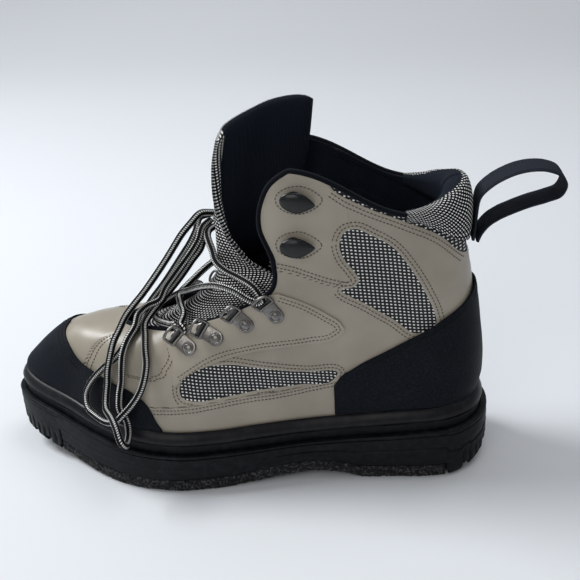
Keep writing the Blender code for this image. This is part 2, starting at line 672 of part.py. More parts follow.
PLATES = (((5.32, 0.348), (6.43, 0.250)), ((6.19, 0.358), (7.12, 0.274)),
          ((7.29, 0.373), (8.18, 0.296)), ((7.76, 0.419), (8.59, 0.362)))    # rivet and loop: level, turn
HOOKS = ((11.87, 0.358), (10.45, 0.384))
ON_PANEL = OVERLAY_GAP + OVERLAY + GAP
RIVET_END, LOOP_END = 0.0050, 0.0046   # radii of the plate's two ends
PLATE_SPAN = 0.0090
LOOP_REACH, LOOP_RISE, LOOP_HALF = 0.0058, 0.0062, 0.0052
HOOK_LENGTH, HOOK_WIDTH, HOOK_RISE = 0.023, 0.0130, 0.0050
HOOK_NECK = 0.0026
HOOK_AIM = 0.05            # turn behind a hook that its point is aimed at


def frame_on_wall(level, turn, toward, out):
    """A frame on the upper: X in the surface towards a second place, Z away from the wall."""
    foot = wall_point(level, turn, 0.0)
    normal = wall_point(level, turn, 0.001) - foot
    normal /= np.linalg.norm(normal)
    x = toward - foot
    x -= normal * (x @ normal)
    x /= np.linalg.norm(x)
    frame = Matrix([[*row] for row in np.column_stack([x, np.cross(normal, x), normal])]).to_4x4()
    frame.translation = Vector(foot + normal * out)
    return frame


def loop_mesh():
    """Riveted plate with its raised bar: X runs from the rivet to the bar."""
    turns = np.linspace(math.pi / 2, 3 * math.pi / 2, 5)
    rivet = np.column_stack([RIVET_END * np.cos(turns), RIVET_END * np.sin(turns)])
    turns = np.linspace(-math.pi / 2, math.pi / 2, 5)
    far = np.column_stack([PLATE_SPAN + LOOP_END * np.cos(turns), LOOP_END * np.sin(turns)])
    outline = np.concatenate([rivet, far])
    sections = [np.column_stack([outline, np.full(len(outline), z)]) for z in (0.0, PLATE_THICKNESS)]
    plate = loft("lace_loop", sections, "steel", smooth_below=40)
    bpy.ops.mesh.primitive_cylinder_add(vertices=8, radius=RIVET_END * 0.72, depth=PLATE_THICKNESS * 2,
                                        location=(0, 0, PLATE_THICKNESS))
    head = bpy.context.object
    foot, top, corner = PLATE_SPAN - 0.001, PLATE_SPAN + LOOP_REACH, 0.0016
    line = [(foot, LOOP_HALF - 0.001, PLATE_THICKNESS * 0.4), (top - corner, LOOP_HALF, LOOP_RISE - corner),
            (top, LOOP_HALF - corner, LOOP_RISE)]
    line += [(x, -y, z) for x, y, z in line[::-1]]
    bar = as_mesh(tube("bar", line, LOOP_WIRE, "steel", 0), "steel")
    for other in (head, bar):
        for group in list(other.users_collection):
            group.objects.unlink(other)
        boot.objects.link(other)
        cut_or_join(plate, other, "UNION")
    bpy.context.view_layer.update()
    view = bpy.context.evaluated_depsgraph_get()
    mesh = bpy.data.meshes.new_from_object(plate.evaluated_get(view))
    for used in (plate, head, bar):
        bpy.data.objects.remove(used)
    return mesh


def build_lace_loops():
    mesh = loop_mesh()
    for side, where in ((-1, "outer"), (1, "inner")):
        for number, (rivet, bar) in enumerate(PLATES, 1):
            made = bpy.data.objects.new(f"lace_loop_{where}_{number}", mesh)
            boot.objects.link(made)
            toward = wall_point(bar[0], side * bar[1], 0.0)
            frame = frame_on_wall(rivet[0], side * rivet[1], toward, 0.0)
            inward = frame.inverted()
            under = [inward @ Vector(wall_point(rivet[0] + k * (bar[0] - rivet[0]),
                                                side * (rivet[1] + k * (bar[1] - rivet[1])), ON_PANEL))
                     for k in np.linspace(-0.35, 1.0, 10)]
            made.matrix_world = frame @ Matrix.Translation((0, 0, max(p.z for p in under)))


def hook_mesh():
    """A domed hook, round in front and drawn to a point behind, on a short neck: X points back."""
    form = bmesh.new()
    bmesh.ops.create_uvsphere(form, u_segments=10, v_segments=6, radius=1.0)
    for vert in form.verts:
        x, y, z = vert.co
        narrow = 1 - 0.55 * max(x, 0) ** 1.5
        vert.co = (x * HOOK_LENGTH / 2, y * HOOK_WIDTH / 2 * narrow,
                   HOOK_NECK + (z * 0.5 + 0.5) * HOOK_RISE * narrow)
    dome = bpy.data.meshes.new("hook")
    form.to_mesh(dome)
    form.free()
    made = add_object("hook", dome, "black_metal")
    bpy.ops.mesh.primitive_cylinder_add(vertices=8, radius=HOOK_WIDTH * 0.3, depth=HOOK_NECK + 0.002,
                                        location=(-HOOK_LENGTH * 0.12, 0, (HOOK_NECK + 0.002) / 2))
    neck = bpy.context.object
    for group in list(neck.users_collection):
        group.objects.unlink(neck)
    boot.objects.link(neck)
    cut_or_join(made, neck, "UNION")
    bpy.context.view_layer.update()
    view = bpy.context.evaluated_depsgraph_get()
    mesh = bpy.data.meshes.new_from_object(made.evaluated_get(view))
    for used in (made, neck):
        bpy.data.objects.remove(used)
    return mesh


def build_hooks():
    mesh = hook_mesh()
    for side, where in ((-1, "outer"), (1, "inner")):
        for number, (level, turn) in enumerate(HOOKS, 1):
            made = bpy.data.objects.new(f"lace_hook_{where}_{number}", mesh)
            boot.objects.link(made)
            toward = wall_point(level, side * (turn + HOOK_AIM), 0.0)
            made.matrix_world = frame_on_wall(level, side * turn, toward, GAP)


# The knot on the tongue's front, and the lace. Places on the upper are ring level, turn and height over its
# face; free ones are shares of the sole's length, of the ball width, and of the way from seat to collar.

KNOT_AT = (-0.346, 0.122, 0.703)
KNOT_RADII = (0.0080, 0.0090, 0.0095)
KNOT_GAP = 0.0015
LACE_SPACING = 2 * LACE_DIAMETER
ON_BRACKET = 0.0062        # height of the lace where it turns at a lace loop
LACE_BAR = ((6.80, -0.234, ON_BRACKET), (6.92, -0.200, 0.0040), (7.02, -0.110, 0.0018), (7.08, 0.0, 0.0014),
            (7.02, 0.110, 0.0018), (6.92, 0.200, 0.0040), (6.80, 0.234, ON_BRACKET))
LACE_RISE = ((6.92, -0.238, ON_BRACKET), (7.20, -0.215, 0.0050), (7.61, -0.182, 0.0040), (8.02, -0.112, 0.0038),
             (8.20, -0.007, 0.0040), (8.60, 0.055, 0.0044), (9.05, 0.120, 0.0046), (9.25, 0.190, 0.0046),
             (9.15, 0.255, 0.0046), (8.90, 0.302, 0.0052), (8.95, 0.324, ON_BRACKET), (9.18, 0.322, 0.0052))
OUTER_LEAD = ((-0.308, -0.272, 0.575), (-0.331, -0.240, 0.590), (-0.351, -0.188, 0.612),
              (-0.3585, -0.139, 0.636))
INNER_LEAD = ((-0.292, 0.280, 0.580), (-0.318, 0.240, 0.600), (-0.336, 0.205, 0.625))
LONG_DOWN = ((-0.417, -0.035, 0.700), (-0.452, -0.070, 0.605), (-0.4925, -0.113, 0.500), (-0.516, -0.139, 0.445),
             (-0.531, -0.161, 0.414), (-0.5495, -0.183, 0.364), (-0.559, -0.226, 0.323))
LONG_ON_TOE = ((4.63, -0.231, 0.0078), (3.88, -0.268, 0.0084), (3.45, -0.281, 0.0084), (2.96, -0.292, 0.0066),
               (2.35, -0.305, 0.0070), (2.00, -0.315, 0.0096), (1.72, -0.330, 0.0142))
LONG_FOLD = ((-0.554, -0.546, 0.064), (-0.545, -0.600, 0.045), (-0.539, -0.624, 0.016), (-0.535, -0.606, -0.015),
             (-0.5345, -0.553, -0.033), (-0.535, -0.496, -0.020), (-0.538, -0.455, 0.013))
LONG_OFF_TOE = ((1.62, -0.340, 0.0058), (2.10, -0.327, 0.0050), (2.48, -0.323, 0.0050), (3.13, -0.309, 0.0040),
                (3.84, -0.288, 0.0050), (4.76, -0.252, 0.0070), (5.18, -0.232, 0.0078), (5.90, -0.185, 0.0092),
                (6.71, -0.105, 0.0128))
LONG_UP = ((-0.4814, -0.113, 0.420), (-0.4624, -0.096, 0.477), (-0.4345, -0.070, 0.547), (-0.407, -0.026, 0.613),
           (-0.388, 0.010, 0.672))
ROUND_DOWN = ((-0.389, 0.045, 0.619), (-0.411, 0.012, 0.564), (-0.4404, 0.004, 0.4875), (-0.4614, -0.026, 0.442),
              (-0.4796, -0.059, 0.4035))
ROUND_ON_TOE = ((6.91, -0.100, 0.0062), (6.26, -0.165, 0.0046), (5.57, -0.237, 0.0034), (4.82, -0.289, 0.0034),
                (4.17, -0.320, 0.0030), (3.62, -0.337, 0.0034), (3.16, -0.347, 0.0042), (2.70, -0.352, 0.0054),
                (2.31, -0.352, 0.0066), (1.95, -0.351, 0.0090), (1.63, -0.349, 0.0112), (1.21, -0.343, 0.0108),
                (1.03, -0.333, 0.0096), (0.97, -0.321, 0.0090), (1.08, -0.305, 0.0086), (1.24, -0.288, 0.0078),
                (1.60, -0.276, 0.0064), (2.15, -0.268, 0.0056), (2.74, -0.267, 0.0052), (3.16, -0.265, 0.0042),
                (3.62, -0.263, 0.0030), (4.27, -0.257, 0.0030), (5.02, -0.229, 0.0028), (5.64, -0.187, 0.0030),
                (6.35, -0.124, 0.0036))
ROUND_UP = ((-0.508, -0.061, 0.388), (-0.492, -0.043, 0.426), (-0.468, -0.013, 0.483), (-0.439, 0.015, 0.561),
            (-0.408, 0.045, 0.647))
# Where each strand leaves the knot, as directions from its middle
KNOT_EXITS = {"outer_lead": (-0.55, -0.80, -0.20), "inner_lead": (0.05, 0.80, -0.60),
              "long_down": (-0.62, -0.50, 0.62), "long_up": (-0.92, -0.36, 0.05),
              "round_down": (-0.86, -0.10, -0.50), "round_up": (-0.92, 0.20, 0.34)}


def knot_side(exit_name):
    """Two points straight out of the knot's side."""
    way = np.array(KNOT_EXITS[exit_name])
    radii = np.array(KNOT_RADII)
    foot = way / np.linalg.norm(way / radii)
    straight = foot / radii ** 2
    straight /= np.linalg.norm(straight)
    return placed(KNOT_AT) + foot + straight * np.array([[KNOT_GAP], [LACE_DIAMETER]])


def on_upper(route):
    return np.array([wall_point(*knot) for knot in route])


def cord(name, *stretches):
    return tube(name, spaced_along(np.concatenate(stretches), LACE_SPACING), LACE_DIAMETER, "lace")


def mirrored(route):
    return tuple((level, -turn, out) for level, turn, out in route)


def build_lace():
    bars = [cord("lace_crossings", on_upper(LACE_BAR)),
            cord("crossing", on_upper(LACE_RISE), placed(INNER_LEAD), knot_side("inner_lead")[::-1]),
            cord("crossing", on_upper(mirrored(LACE_RISE)), placed(OUTER_LEAD), knot_side("outer_lead")[::-1])]
    whole, *others = [as_mesh(bar, "lace") for bar in bars]
    for other in others:
        cut_or_join(whole, other, "UNION")
    cord("lace_outer", knot_side("long_down"), placed(LONG_DOWN), on_upper(LONG_ON_TOE), placed(LONG_FOLD),
         on_upper(LONG_OFF_TOE), placed(LONG_UP), knot_side("long_up")[::-1])
    cord("lace_inner", knot_side("round_down"), placed(ROUND_DOWN), on_upper(ROUND_ON_TOE), placed(ROUND_UP),
         knot_side("round_up")[::-1])
    form = bmesh.new()
    bmesh.ops.create_uvsphere(form, u_segments=12, v_segments=8, radius=1.0)
    for vert in form.verts:
        vert.co = [place * radius for place, radius in zip(vert.co, KNOT_RADII)]
    mesh = bpy.data.meshes.new("lace_knot")
    form.to_mesh(mesh)
    form.free()
    add_object("lace_knot", mesh, "lace").location = placed(KNOT_AT)


def main():
    build_sole()
    build_upper()
    build_overlays()
    build_strip()
    build_roll()
    build_tongue()
    build_pull_loop()
    build_lace_loops()
    build_hooks()
    build_lace()


for old in list(bpy.data.objects):
    bpy.data.objects.remove(old)
boot = bpy.data.collections.new("wading_boot")
tools = bpy.data.collections.new("cutters")
for group in (boot, tools):
    bpy.context.scene.collection.children.link(group)
main()
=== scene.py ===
import math
import bmesh
import bpy
import numpy as np
from mathutils import Matrix, Vector


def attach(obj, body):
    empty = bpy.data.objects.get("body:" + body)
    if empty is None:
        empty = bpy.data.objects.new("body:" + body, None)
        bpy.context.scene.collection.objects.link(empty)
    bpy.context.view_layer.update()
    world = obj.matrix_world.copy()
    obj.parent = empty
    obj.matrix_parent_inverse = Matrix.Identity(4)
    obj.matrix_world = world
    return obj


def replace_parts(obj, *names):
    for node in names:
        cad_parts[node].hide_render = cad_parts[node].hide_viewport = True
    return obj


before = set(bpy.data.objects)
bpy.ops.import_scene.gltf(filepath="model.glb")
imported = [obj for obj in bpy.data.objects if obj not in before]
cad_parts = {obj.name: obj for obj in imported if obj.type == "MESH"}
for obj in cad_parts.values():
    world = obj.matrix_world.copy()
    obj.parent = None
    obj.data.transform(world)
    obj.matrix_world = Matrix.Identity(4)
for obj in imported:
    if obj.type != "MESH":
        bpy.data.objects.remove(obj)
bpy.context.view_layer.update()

# the foot's outline starts and ends at two shares of the sole's length, and lies seatInset inside the sole's edge
boot = {"soleLength": 0.319, "ballWidth": 0.115, "heelBack": 0.054, "collarHeight": 0.205, "wall": 0.0024,
        "felt": 0.008, "gap": 0.0003, "overlay": 0.0012, "overlayGap": 0.0006, "toeFull": 0.0028,
        "toeShare": 0.973, "heelShare": 0.027, "seatInset": 0.0085, "seatDepth": 0.0055}


# Shapes shared by the pieces

def through(knots, values, at):
    # cubic pieces through a table, each knot's slope the mean of its neighbours' slopes
    knots, values = np.asarray(knots, float), np.asarray(values, float)
    at = np.clip(np.asarray(at, float), knots[0], knots[-1])
    step = np.diff(knots)
    shape = (-1,) + (1,) * (values.ndim - 1)
    rise = np.diff(values, axis=0) / step.reshape(shape)
    inner = rise[:-1] * step[1:].reshape(shape) + rise[1:] * step[:-1].reshape(shape)
    inner = inner / (step[1:] + step[:-1]).reshape(shape)
    slope = np.concatenate([rise[:1], inner, rise[-1:]])
    i = np.clip(np.searchsorted(knots, at, side="right") - 1, 0, len(step) - 1)
    extra = at.shape + (1,) * (values.ndim - 1)
    u = ((at - knots[i]) / step[i]).reshape(extra)
    h = step[i].reshape(extra)
    return (values[i] * (1 + 2 * u) * (1 - u) ** 2 + values[i + 1] * u * u * (3 - 2 * u)
            + slope[i] * h * u * (1 - u) ** 2 - slope[i + 1] * h * u * u * (1 - u))


def lengthAlong(line):
    # the length along a line at each of its points
    return np.concatenate([[0], np.cumsum(np.linalg.norm(np.diff(line, axis=0), axis=1))])


def atLengths(line, length, at):
    # the places on a line at some lengths along it
    return np.stack([np.interp(at, length, column) for column in np.transpose(line)], axis=-1)


def spread(*parts):
    # coordinates given by rows and by columns, as one grid of points
    return np.stack(np.broadcast_arrays(*parts), axis=-1)


def alongCurve(points, spacing, closed=False):
    # points a fixed distance apart on the smooth curve through the given ones
    points = np.asarray(points, float)
    if closed:
        points = np.concatenate([points[-2:], points, points[:3]])
    reach = lengthAlong(points)
    start, end = (reach[2], reach[-3]) if closed else (0, reach[-1])
    fine = through(reach, points, np.linspace(start, end, 40 * len(points)))
    length = lengthAlong(fine)
    count = max(int(round(length[-1] / spacing)), 2)
    return atLengths(fine, length, np.linspace(0, length[-1], count + 1))


def roundEnd(distance, reach, power):
    # 1 away from an end, 0 at it, a superellipse over the reach between
    u = np.clip(1 - np.asarray(distance, float) / reach, 0, 1)
    return (1 - u ** power) ** (1 / power)


def smooth(low, high, x):
    # 0 below low, 1 above high, an S between
    t = np.clip((x - low) / (high - low), 0, 1)
    return t * t * (3 - 2 * t)


def unit(v):
    return v / np.maximum(np.linalg.norm(v, axis=-1, keepdims=True), 1e-12)


def waves(points, size, seed):
    # soft unevenness from -1 to 1: the mean of nine sine waves of about the given size in random directions
    rng = np.random.default_rng(seed)
    way = unit(rng.normal(size=(9, 3))) * (2 * math.pi / size) * rng.uniform(0.6, 1.6, (9, 1))
    return np.sin(points @ way.T + rng.uniform(0, 6.28, 9)).mean(axis=-1) * 2.2


# Meshes

def gridFaces(rows, columns, wrapRows=False, wrapColumns=False):
    r = np.arange(rows if wrapRows else rows - 1)[:, None]
    c = np.arange(columns if wrapColumns else columns - 1)[None, :]
    r2, c2 = (r + 1) % rows, (c + 1) % columns
    return np.stack([r * columns + c, r * columns + c2, r2 * columns + c2, r2 * columns + c], -1).reshape(-1, 4)


def closedTube(rows, around):
    # quads round a stack of flat rings, with both ends closed from one half of the ring to the other
    k = np.arange(around // 2 - 1)
    ends = [base + np.stack([k, k + 1, around - 2 - k, around - 1 - k], -1) for base in (0, (rows - 1) * around)]
    return np.concatenate([gridFaces(rows, around, wrapColumns=True), *ends])


def makePiece(name, points, faces, materials, uv=None, values=None, sharp=50, weld=True, outwards=True):
    # a mesh from an array of points and of quads, with a UV and named values at each point
    points = np.asarray(points, float).reshape(-1, 3)
    faces = np.asarray(faces, int)
    mesh = bpy.data.meshes.new(name)
    mesh.vertices.add(len(points))
    mesh.vertices.foreach_set("co", points.ravel())
    mesh.loops.add(faces.size)
    mesh.loops.foreach_set("vertex_index", faces.ravel())
    mesh.polygons.add(len(faces))
    mesh.polygons.foreach_set("loop_start", np.arange(0, faces.size, faces.shape[1]))
    mesh.update(calc_edges=True)
    if uv is not None:
        layer = mesh.uv_layers.new(name="surface")
        layer.data.foreach_set("uv", np.asarray(uv, float).reshape(-1, 2)[faces.ravel()].ravel())
    for key, value in (values or {}).items():
        layer = mesh.attributes.new(key, "FLOAT", "POINT")
        layer.data.foreach_set("value", np.asarray(value, float).ravel())
    form = bmesh.new()
    form.from_mesh(mesh)
    if weld:
        bmesh.ops.remove_doubles(form, verts=form.verts, dist=2e-6)
        bmesh.ops.dissolve_degenerate(form, edges=form.edges, dist=2e-6)
    if outwards:
        bmesh.ops.recalc_face_normals(form, faces=form.faces)
    form.to_mesh(mesh)
    form.free()
    for material in materials:
        mesh.materials.append(material)
    piece = bpy.data.objects.new(name, mesh)
    bpy.context.scene.collection.objects.link(piece)
    mesh.shade_smooth()
    mesh.set_sharp_from_angle(angle=math.radians(sharp))
    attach(piece, "root")
    return piece


def thicken(piece, thickness, outwards=True, edge=0.0004, inner=0):
    # gives a sheet its wall and rounds the wall's edges
    wall = piece.modifiers.new("Wall", "SOLIDIFY")
    wall.thickness, wall.offset, wall.use_even_offset = thickness, 1.0 if outwards else -1.0, False
    wall.material_offset = wall.material_offset_rim = inner
    if edge:
        bevel = piece.modifiers.new("Edge", "BEVEL")
        bevel.width, bevel.segments, bevel.limit_method, bevel.angle_limit = edge, 2, "ANGLE", math.radians(60)
    return piece


def tubeRings(path, radius, sides=16, up=(0, 0, 1)):
    # circles square to a path; each turn of the frame follows the last one by projection
    path = np.asarray(path, float)
    along = unit(np.gradient(path, axis=0))
    across = np.empty_like(path)
    across[0] = unit(np.cross(along[0], np.asarray(up, float) + 1e-3))
    for k in range(1, len(path)):
        side = across[k - 1] - along[k] * (across[k - 1] @ along[k])
        across[k] = side / np.linalg.norm(side)
    third = np.cross(along, across)
    turn = np.linspace(0, 2 * math.pi, sides, endpoint=False)
    size = np.broadcast_to(np.asarray(radius, float), len(path))[:, None, None]
    cos, sin = np.cos(turn)[:, None], np.sin(turn)[:, None]
    return path[:, None] + size * (cos * across[:, None] + sin * third[:, None])


def tubeMesh(path, radius, sides=16):
    # rings along a path with domed ends, as points, quads and a UV of turn and length
    path = np.asarray(path, float)
    along = unit(np.gradient(path, axis=0))
    domeHeight = float(np.max(radius)) * 0.6
    angle = np.linspace(0.15, math.pi / 2, 4)[:, None, None]
    dome, rise = np.sin(angle), np.cos(angle) * domeHeight
    body = tubeRings(path, radius, sides)
    first = path[0] + (body[0] - path[0]) * dome - along[0] * rise
    last = path[-1] + (body[-1] - path[-1]) * dome[::-1] + along[-1] * rise[::-1]
    tips = np.stack([path[0] - along[0] * domeHeight, path[-1] + along[-1] * domeHeight])
    tips = np.repeat(tips[:, None], sides, axis=1)
    points = np.concatenate([tips[:1], first[:-1], body, last[1:], tips[1:]])
    turn = np.linspace(0, 1, sides, endpoint=False)
    uv = spread(turn[None, :], lengthAlong(points.mean(axis=1))[:, None])
    return points.reshape(-1, 3), gridFaces(len(points), sides, wrapColumns=True), uv.reshape(-1, 2)


def joined(parts):
    # several sets of points, quads and UVs as one
    points, faces, uvs = zip(*parts)
    starts = np.cumsum([0] + [len(p) for p in points])
    return np.concatenate(points), np.concatenate([f + n for f, n in zip(faces, starts)]), np.concatenate(uvs)


# The boot's own surfaces

solePlan = np.array([(0.00, 0.000, 0.348), (0.17, -0.016, 0.350), (0.27, -0.021, 0.352), (0.36, -0.022, 0.365),
                     (0.45, -0.022, 0.413), (0.53, -0.022, 0.465), (0.61, -0.020, 0.500), (0.67, -0.009, 0.498),
                     (0.73, 0.017, 0.496), (0.80, 0.065, 0.480), (0.87, 0.113, 0.452), (1.00, 0.135, 0.452)])
soleSide = np.array([(0.00, 0.0280, 0.1130), (0.04, 0.0090, 0.1090), (0.10, -0.0030, 0.1060),
                     (0.17, -0.0050, 0.1010), (0.24, -0.0030, 0.0960), (0.30, 0.0120, 0.0910),
                     (0.35, 0.0157, 0.0870), (0.41, 0.0120, 0.0845), (0.48, 0.0040, 0.0825),
                     (0.55, -0.0030, 0.0815), (0.65, -0.0050, 0.0840), (0.74, -0.0010, 0.0895),
                     (0.80, 0.0040, 0.0960), (0.88, 0.0150, 0.1075), (0.94, 0.0270, 0.1165),
                     (1.00, 0.0440, 0.1270)])
rings = np.array([
    # front   back    frontZ backZ  ball   waist  heel   nose   power swell  rim   swing open
    (-0.8040, 0.1426, 0.003, 0.003, 0.422, 0.350, 0.278, 0.342, 1.70, 0.000, 1.00, 1.00, 0.000),
    (-0.8020, 0.1450, 0.072, 0.059, 0.420, 0.345, 0.279, 0.335, 1.75, 0.000, 1.00, 1.00, 0.000),
    (-0.7770, 0.1510, 0.129, 0.115, 0.402, 0.337, 0.283, 0.315, 1.90, 0.000, 0.75, 1.00, 0.000),
    (-0.7430, 0.1520, 0.188, 0.177, 0.372, 0.333, 0.287, 0.300, 2.00, 0.000, 0.45, 0.95, 0.000),
    (-0.6960, 0.1500, 0.238, 0.252, 0.346, 0.330, 0.291, 0.290, 2.00, 0.000, 0.20, 0.88, 0.000),
    (-0.6360, 0.1460, 0.276, 0.327, 0.327, 0.328, 0.294, 0.275, 2.00, 0.000, 0.00, 0.75, 0.000),
    (-0.5640, 0.1410, 0.308, 0.401, 0.315, 0.327, 0.297, 0.250, 2.00, 0.000, 0.00, 0.60, 0.000),
    (-0.5010, 0.1360, 0.338, 0.476, 0.308, 0.326, 0.300, 0.222, 2.00, 0.000, 0.00, 0.45, 0.110),
    (-0.4440, 0.1310, 0.392, 0.557, 0.306, 0.325, 0.303, 0.203, 2.00, 0.002, 0.00, 0.30, 0.200),
    (-0.3950, 0.1250, 0.474, 0.632, 0.308, 0.324, 0.306, 0.182, 2.10, 0.008, 0.00, 0.20, 0.285),
    (-0.3500, 0.1200, 0.598, 0.703, 0.306, 0.322, 0.309, 0.155, 2.30, 0.016, 0.00, 0.10, 0.235),
    (-0.3200, 0.1170, 0.745, 0.766, 0.310, 0.320, 0.312, 0.135, 2.50, 0.030, 0.00, 0.00, 0.135),
    (-0.3020, 0.1150, 0.860, 0.813, 0.314, 0.321, 0.314, 0.128, 2.60, 0.040, 0.00, 0.00, 0.125),
    (-0.2930, 0.1120, 0.955, 0.850, 0.316, 0.322, 0.315, 0.125, 2.60, 0.047, 0.00, 0.00, 0.185)])
top = len(rings) - 1.0


def soleShare(x):
    return (boot["heelBack"] - x) / boot["soleLength"]


def soleMiddle(share):
    return through(solePlan[:, 0], solePlan[:, 1], share) * boot["ballWidth"]


def soleHalf(share):
    half = through(solePlan[:, 0], solePlan[:, 2], share) * boot["ballWidth"]
    return half * roundEnd(share, 0.13, 2.2) * roundEnd(1 - share, 0.36, 1.85)


def treadHeight(share):
    return np.maximum(through(soleSide[:, 0], soleSide[:, 1], share), 0) * boot["soleLength"]


def rimHeight(share):
    return through(soleSide[:, 0], soleSide[:, 2], share) * boot["soleLength"]


def seatHeight(share):
    return rimHeight(share) + boot["seatDepth"]


def soleRing(stations, inset, height):
    # the sole's outline moved in by an inset, outer side first; height and inset may be functions of the share
    moved = inset(stations) if callable(inset) else np.full(len(stations), inset)

    def edge(sign):
        near = np.clip(stations + np.array([[-1e-4], [0], [1e-4]]), 0, 1)
        x = boot["heelBack"] - near * boot["soleLength"]
        y = soleMiddle(near) + sign * soleHalf(near)
        along = unit(np.stack([x[2] - x[0], y[2] - y[0]], axis=1))
        inwards = np.stack([-along[:, 1], along[:, 0]], axis=1) * (1 if sign > 0 else -1)
        return np.stack([x[1], y[1]], axis=1) + inwards * moved[:, None]
    lateral, medial = edge(-1), edge(1)
    for end in (0, -1):
        if soleHalf(stations[end]) < 1e-6:
            x = boot["heelBack"] - stations[end] * boot["soleLength"] + moved[end] * (-1 if end == 0 else 1)
            lateral[end] = medial[end] = (x, soleMiddle(stations[end]))
    plan = np.concatenate([lateral, medial[::-1]])
    z = height(np.concatenate([stations, stations[::-1]]), soleShare(plan[:, 0]))
    return np.column_stack([plan, z])


def onGround(stations, share):
    return share * 0


def footPlan(side):
    # the foot's outline on one side, as shares of its length and places along Y
    stations = np.unique(np.concatenate([soleStations(), np.linspace(0.02, 0.98, 60)]))
    ring = soleRing(stations, boot["seatInset"], onGround)
    half = ring[:len(ring) // 2] if side < 0 else ring[:len(ring) // 2 - 1:-1]
    half = half[::-1]
    share = (half[:, 0] - half[0, 0]) / (half[-1, 0] - half[0, 0])
    order = np.argsort(share)
    return share[order], half[order, 1]


def soleStations(start=0.0, end=1.0, count=150, extra=()):
    # shares of the sole's length, closer together at both ends
    even = np.linspace(0, 1, count)
    mixed = 0.45 * even + 0.55 * (1 - np.cos(even * math.pi)) / 2
    return np.unique(np.concatenate([[start], mixed[(mixed > start) & (mixed < end)], [end], extra]))


footOuter, footInner = footPlan(-1), footPlan(1)


def heightOf(share, seat):
    return seat + (boot["collarHeight"] - seat) * share


def placed(points):
    # shares of the sole's length, the ball width and the way from the seat up to the collar
    points = np.asarray(points, float)
    return np.stack([points[..., 0] * boot["soleLength"], points[..., 1] * boot["ballWidth"],
                     heightOf(points[..., 2], seatHeight(boot["toeShare"]))], axis=-1)


def ringsAt(level, columns=slice(None)):
    return through(np.arange(len(rings)), rings[:, columns], level)


def paired(level, turn):
    return np.broadcast_arrays(np.asarray(level, float), np.asarray(turn, float))


def ringPoint(level, turn):
    # the upper's outer face: level counts rings, turn runs from 0 at the front to -1 or 1 at the back
    level, turn = paired(level, turn)
    v = ringsAt(level)
    share = (1 - np.cos(math.pi * np.abs(turn))) / 2
    front, back = v[..., 0] * boot["soleLength"], v[..., 1] * boot["soleLength"]
    x = front + share * (back - front)
    length = back - front
    bell = [np.clip(1 - np.abs(share - at) / 0.25, 0, 1) for at in (0.30, 0.55, 0.80)]
    bell[0] = np.where(share < 0.30, 1.0, bell[0])
    bell[2] = np.where(share > 0.80, 1.0, bell[2])
    width = sum(b * b * (3 - 2 * b) * v[..., 4 + k] for k, b in enumerate(bell)) * boot["ballWidth"]
    half = width * roundEnd(share * length, v[..., 7] * boot["soleLength"], v[..., 8])
    half = half * roundEnd((1 - share) * length, 0.040, 2.2)
    y = soleMiddle(soleShare(x)) * v[..., 11] + np.sign(turn) * half
    foot = np.where(turn < 0, np.interp(share, *footOuter), np.interp(share, *footInner))
    y = y + v[..., 10] * (foot - y)
    straight = seatHeight(soleShare(front)) * (1 - share) + seatHeight(soleShare(back)) * share
    z = heightOf(v[..., 2], seatHeight(boot["toeShare"])) * (1 - share)
    z = z + heightOf(v[..., 3], seatHeight(boot["heelShare"])) * share
    z = z + boot["collarHeight"] * v[..., 9] * np.sin(2 * math.pi * share)
    return np.stack([x, y, z + v[..., 10] * (seatHeight(soleShare(x)) - straight)], axis=-1)


def wallNormal(level, turn):
    level, turn = paired(level, turn)
    d = 0.01
    up = ringPoint(np.minimum(level + d, top), turn) - ringPoint(np.maximum(level - d, 0), turn)
    near = np.clip(turn, -1 + d, 1 - d)
    return unit(np.cross(up, ringPoint(level, near + d) - ringPoint(level, near - d)))


def wallPoint(level, turn, out=0.0):
    # a place at a distance outside the upper's face
    level, turn = paired(level, turn)
    return ringPoint(level, turn) + wallNormal(level, turn) * np.asarray(out, float)[..., None]


def turnAt(share):
    return np.arccos(1 - 2 * np.clip(share, 0, 1)) / math.pi


def edgeTurn(level):
    # the throat's edge; its top corner is rounded off
    corner = 0.045 * np.clip((np.asarray(level, float) - 12.2) / 0.8, 0, 1) ** 2.5
    return turnAt(np.maximum(ringsAt(level, 12) + corner, 0))


def turnOver(x, level):
    # the turn at which a level passes a place along X
    ends = ringsAt(level, slice(0, 2)) * boot["soleLength"]
    return turnAt((x - ends[..., 0]) / (ends[..., 1] - ends[..., 0]))


def onSide(x, z, side):
    # level and turn of a place in the side view, by halving: height rises with level at one place along X
    x, z = np.asarray(x, float), np.asarray(z, float)
    low, high = np.zeros_like(x), np.full_like(x, top)
    for _ in range(30):
        middle = (low + high) / 2
        below = ringPoint(middle, side * turnOver(x, middle))[..., 2] < z
        low, high = np.where(below, middle, low), np.where(below, high, middle)
    return (low + high) / 2, side * turnOver(x, (low + high) / 2)


def turnsRoundBack(start, shares):
    # turns from the front of the outer side round the back to the front of the inner side
    shares = np.asarray(shares, float)
    lateral = -(shares + start * (1 - shares) ** 2)
    return np.concatenate([lateral, -lateral[-2::-1]])


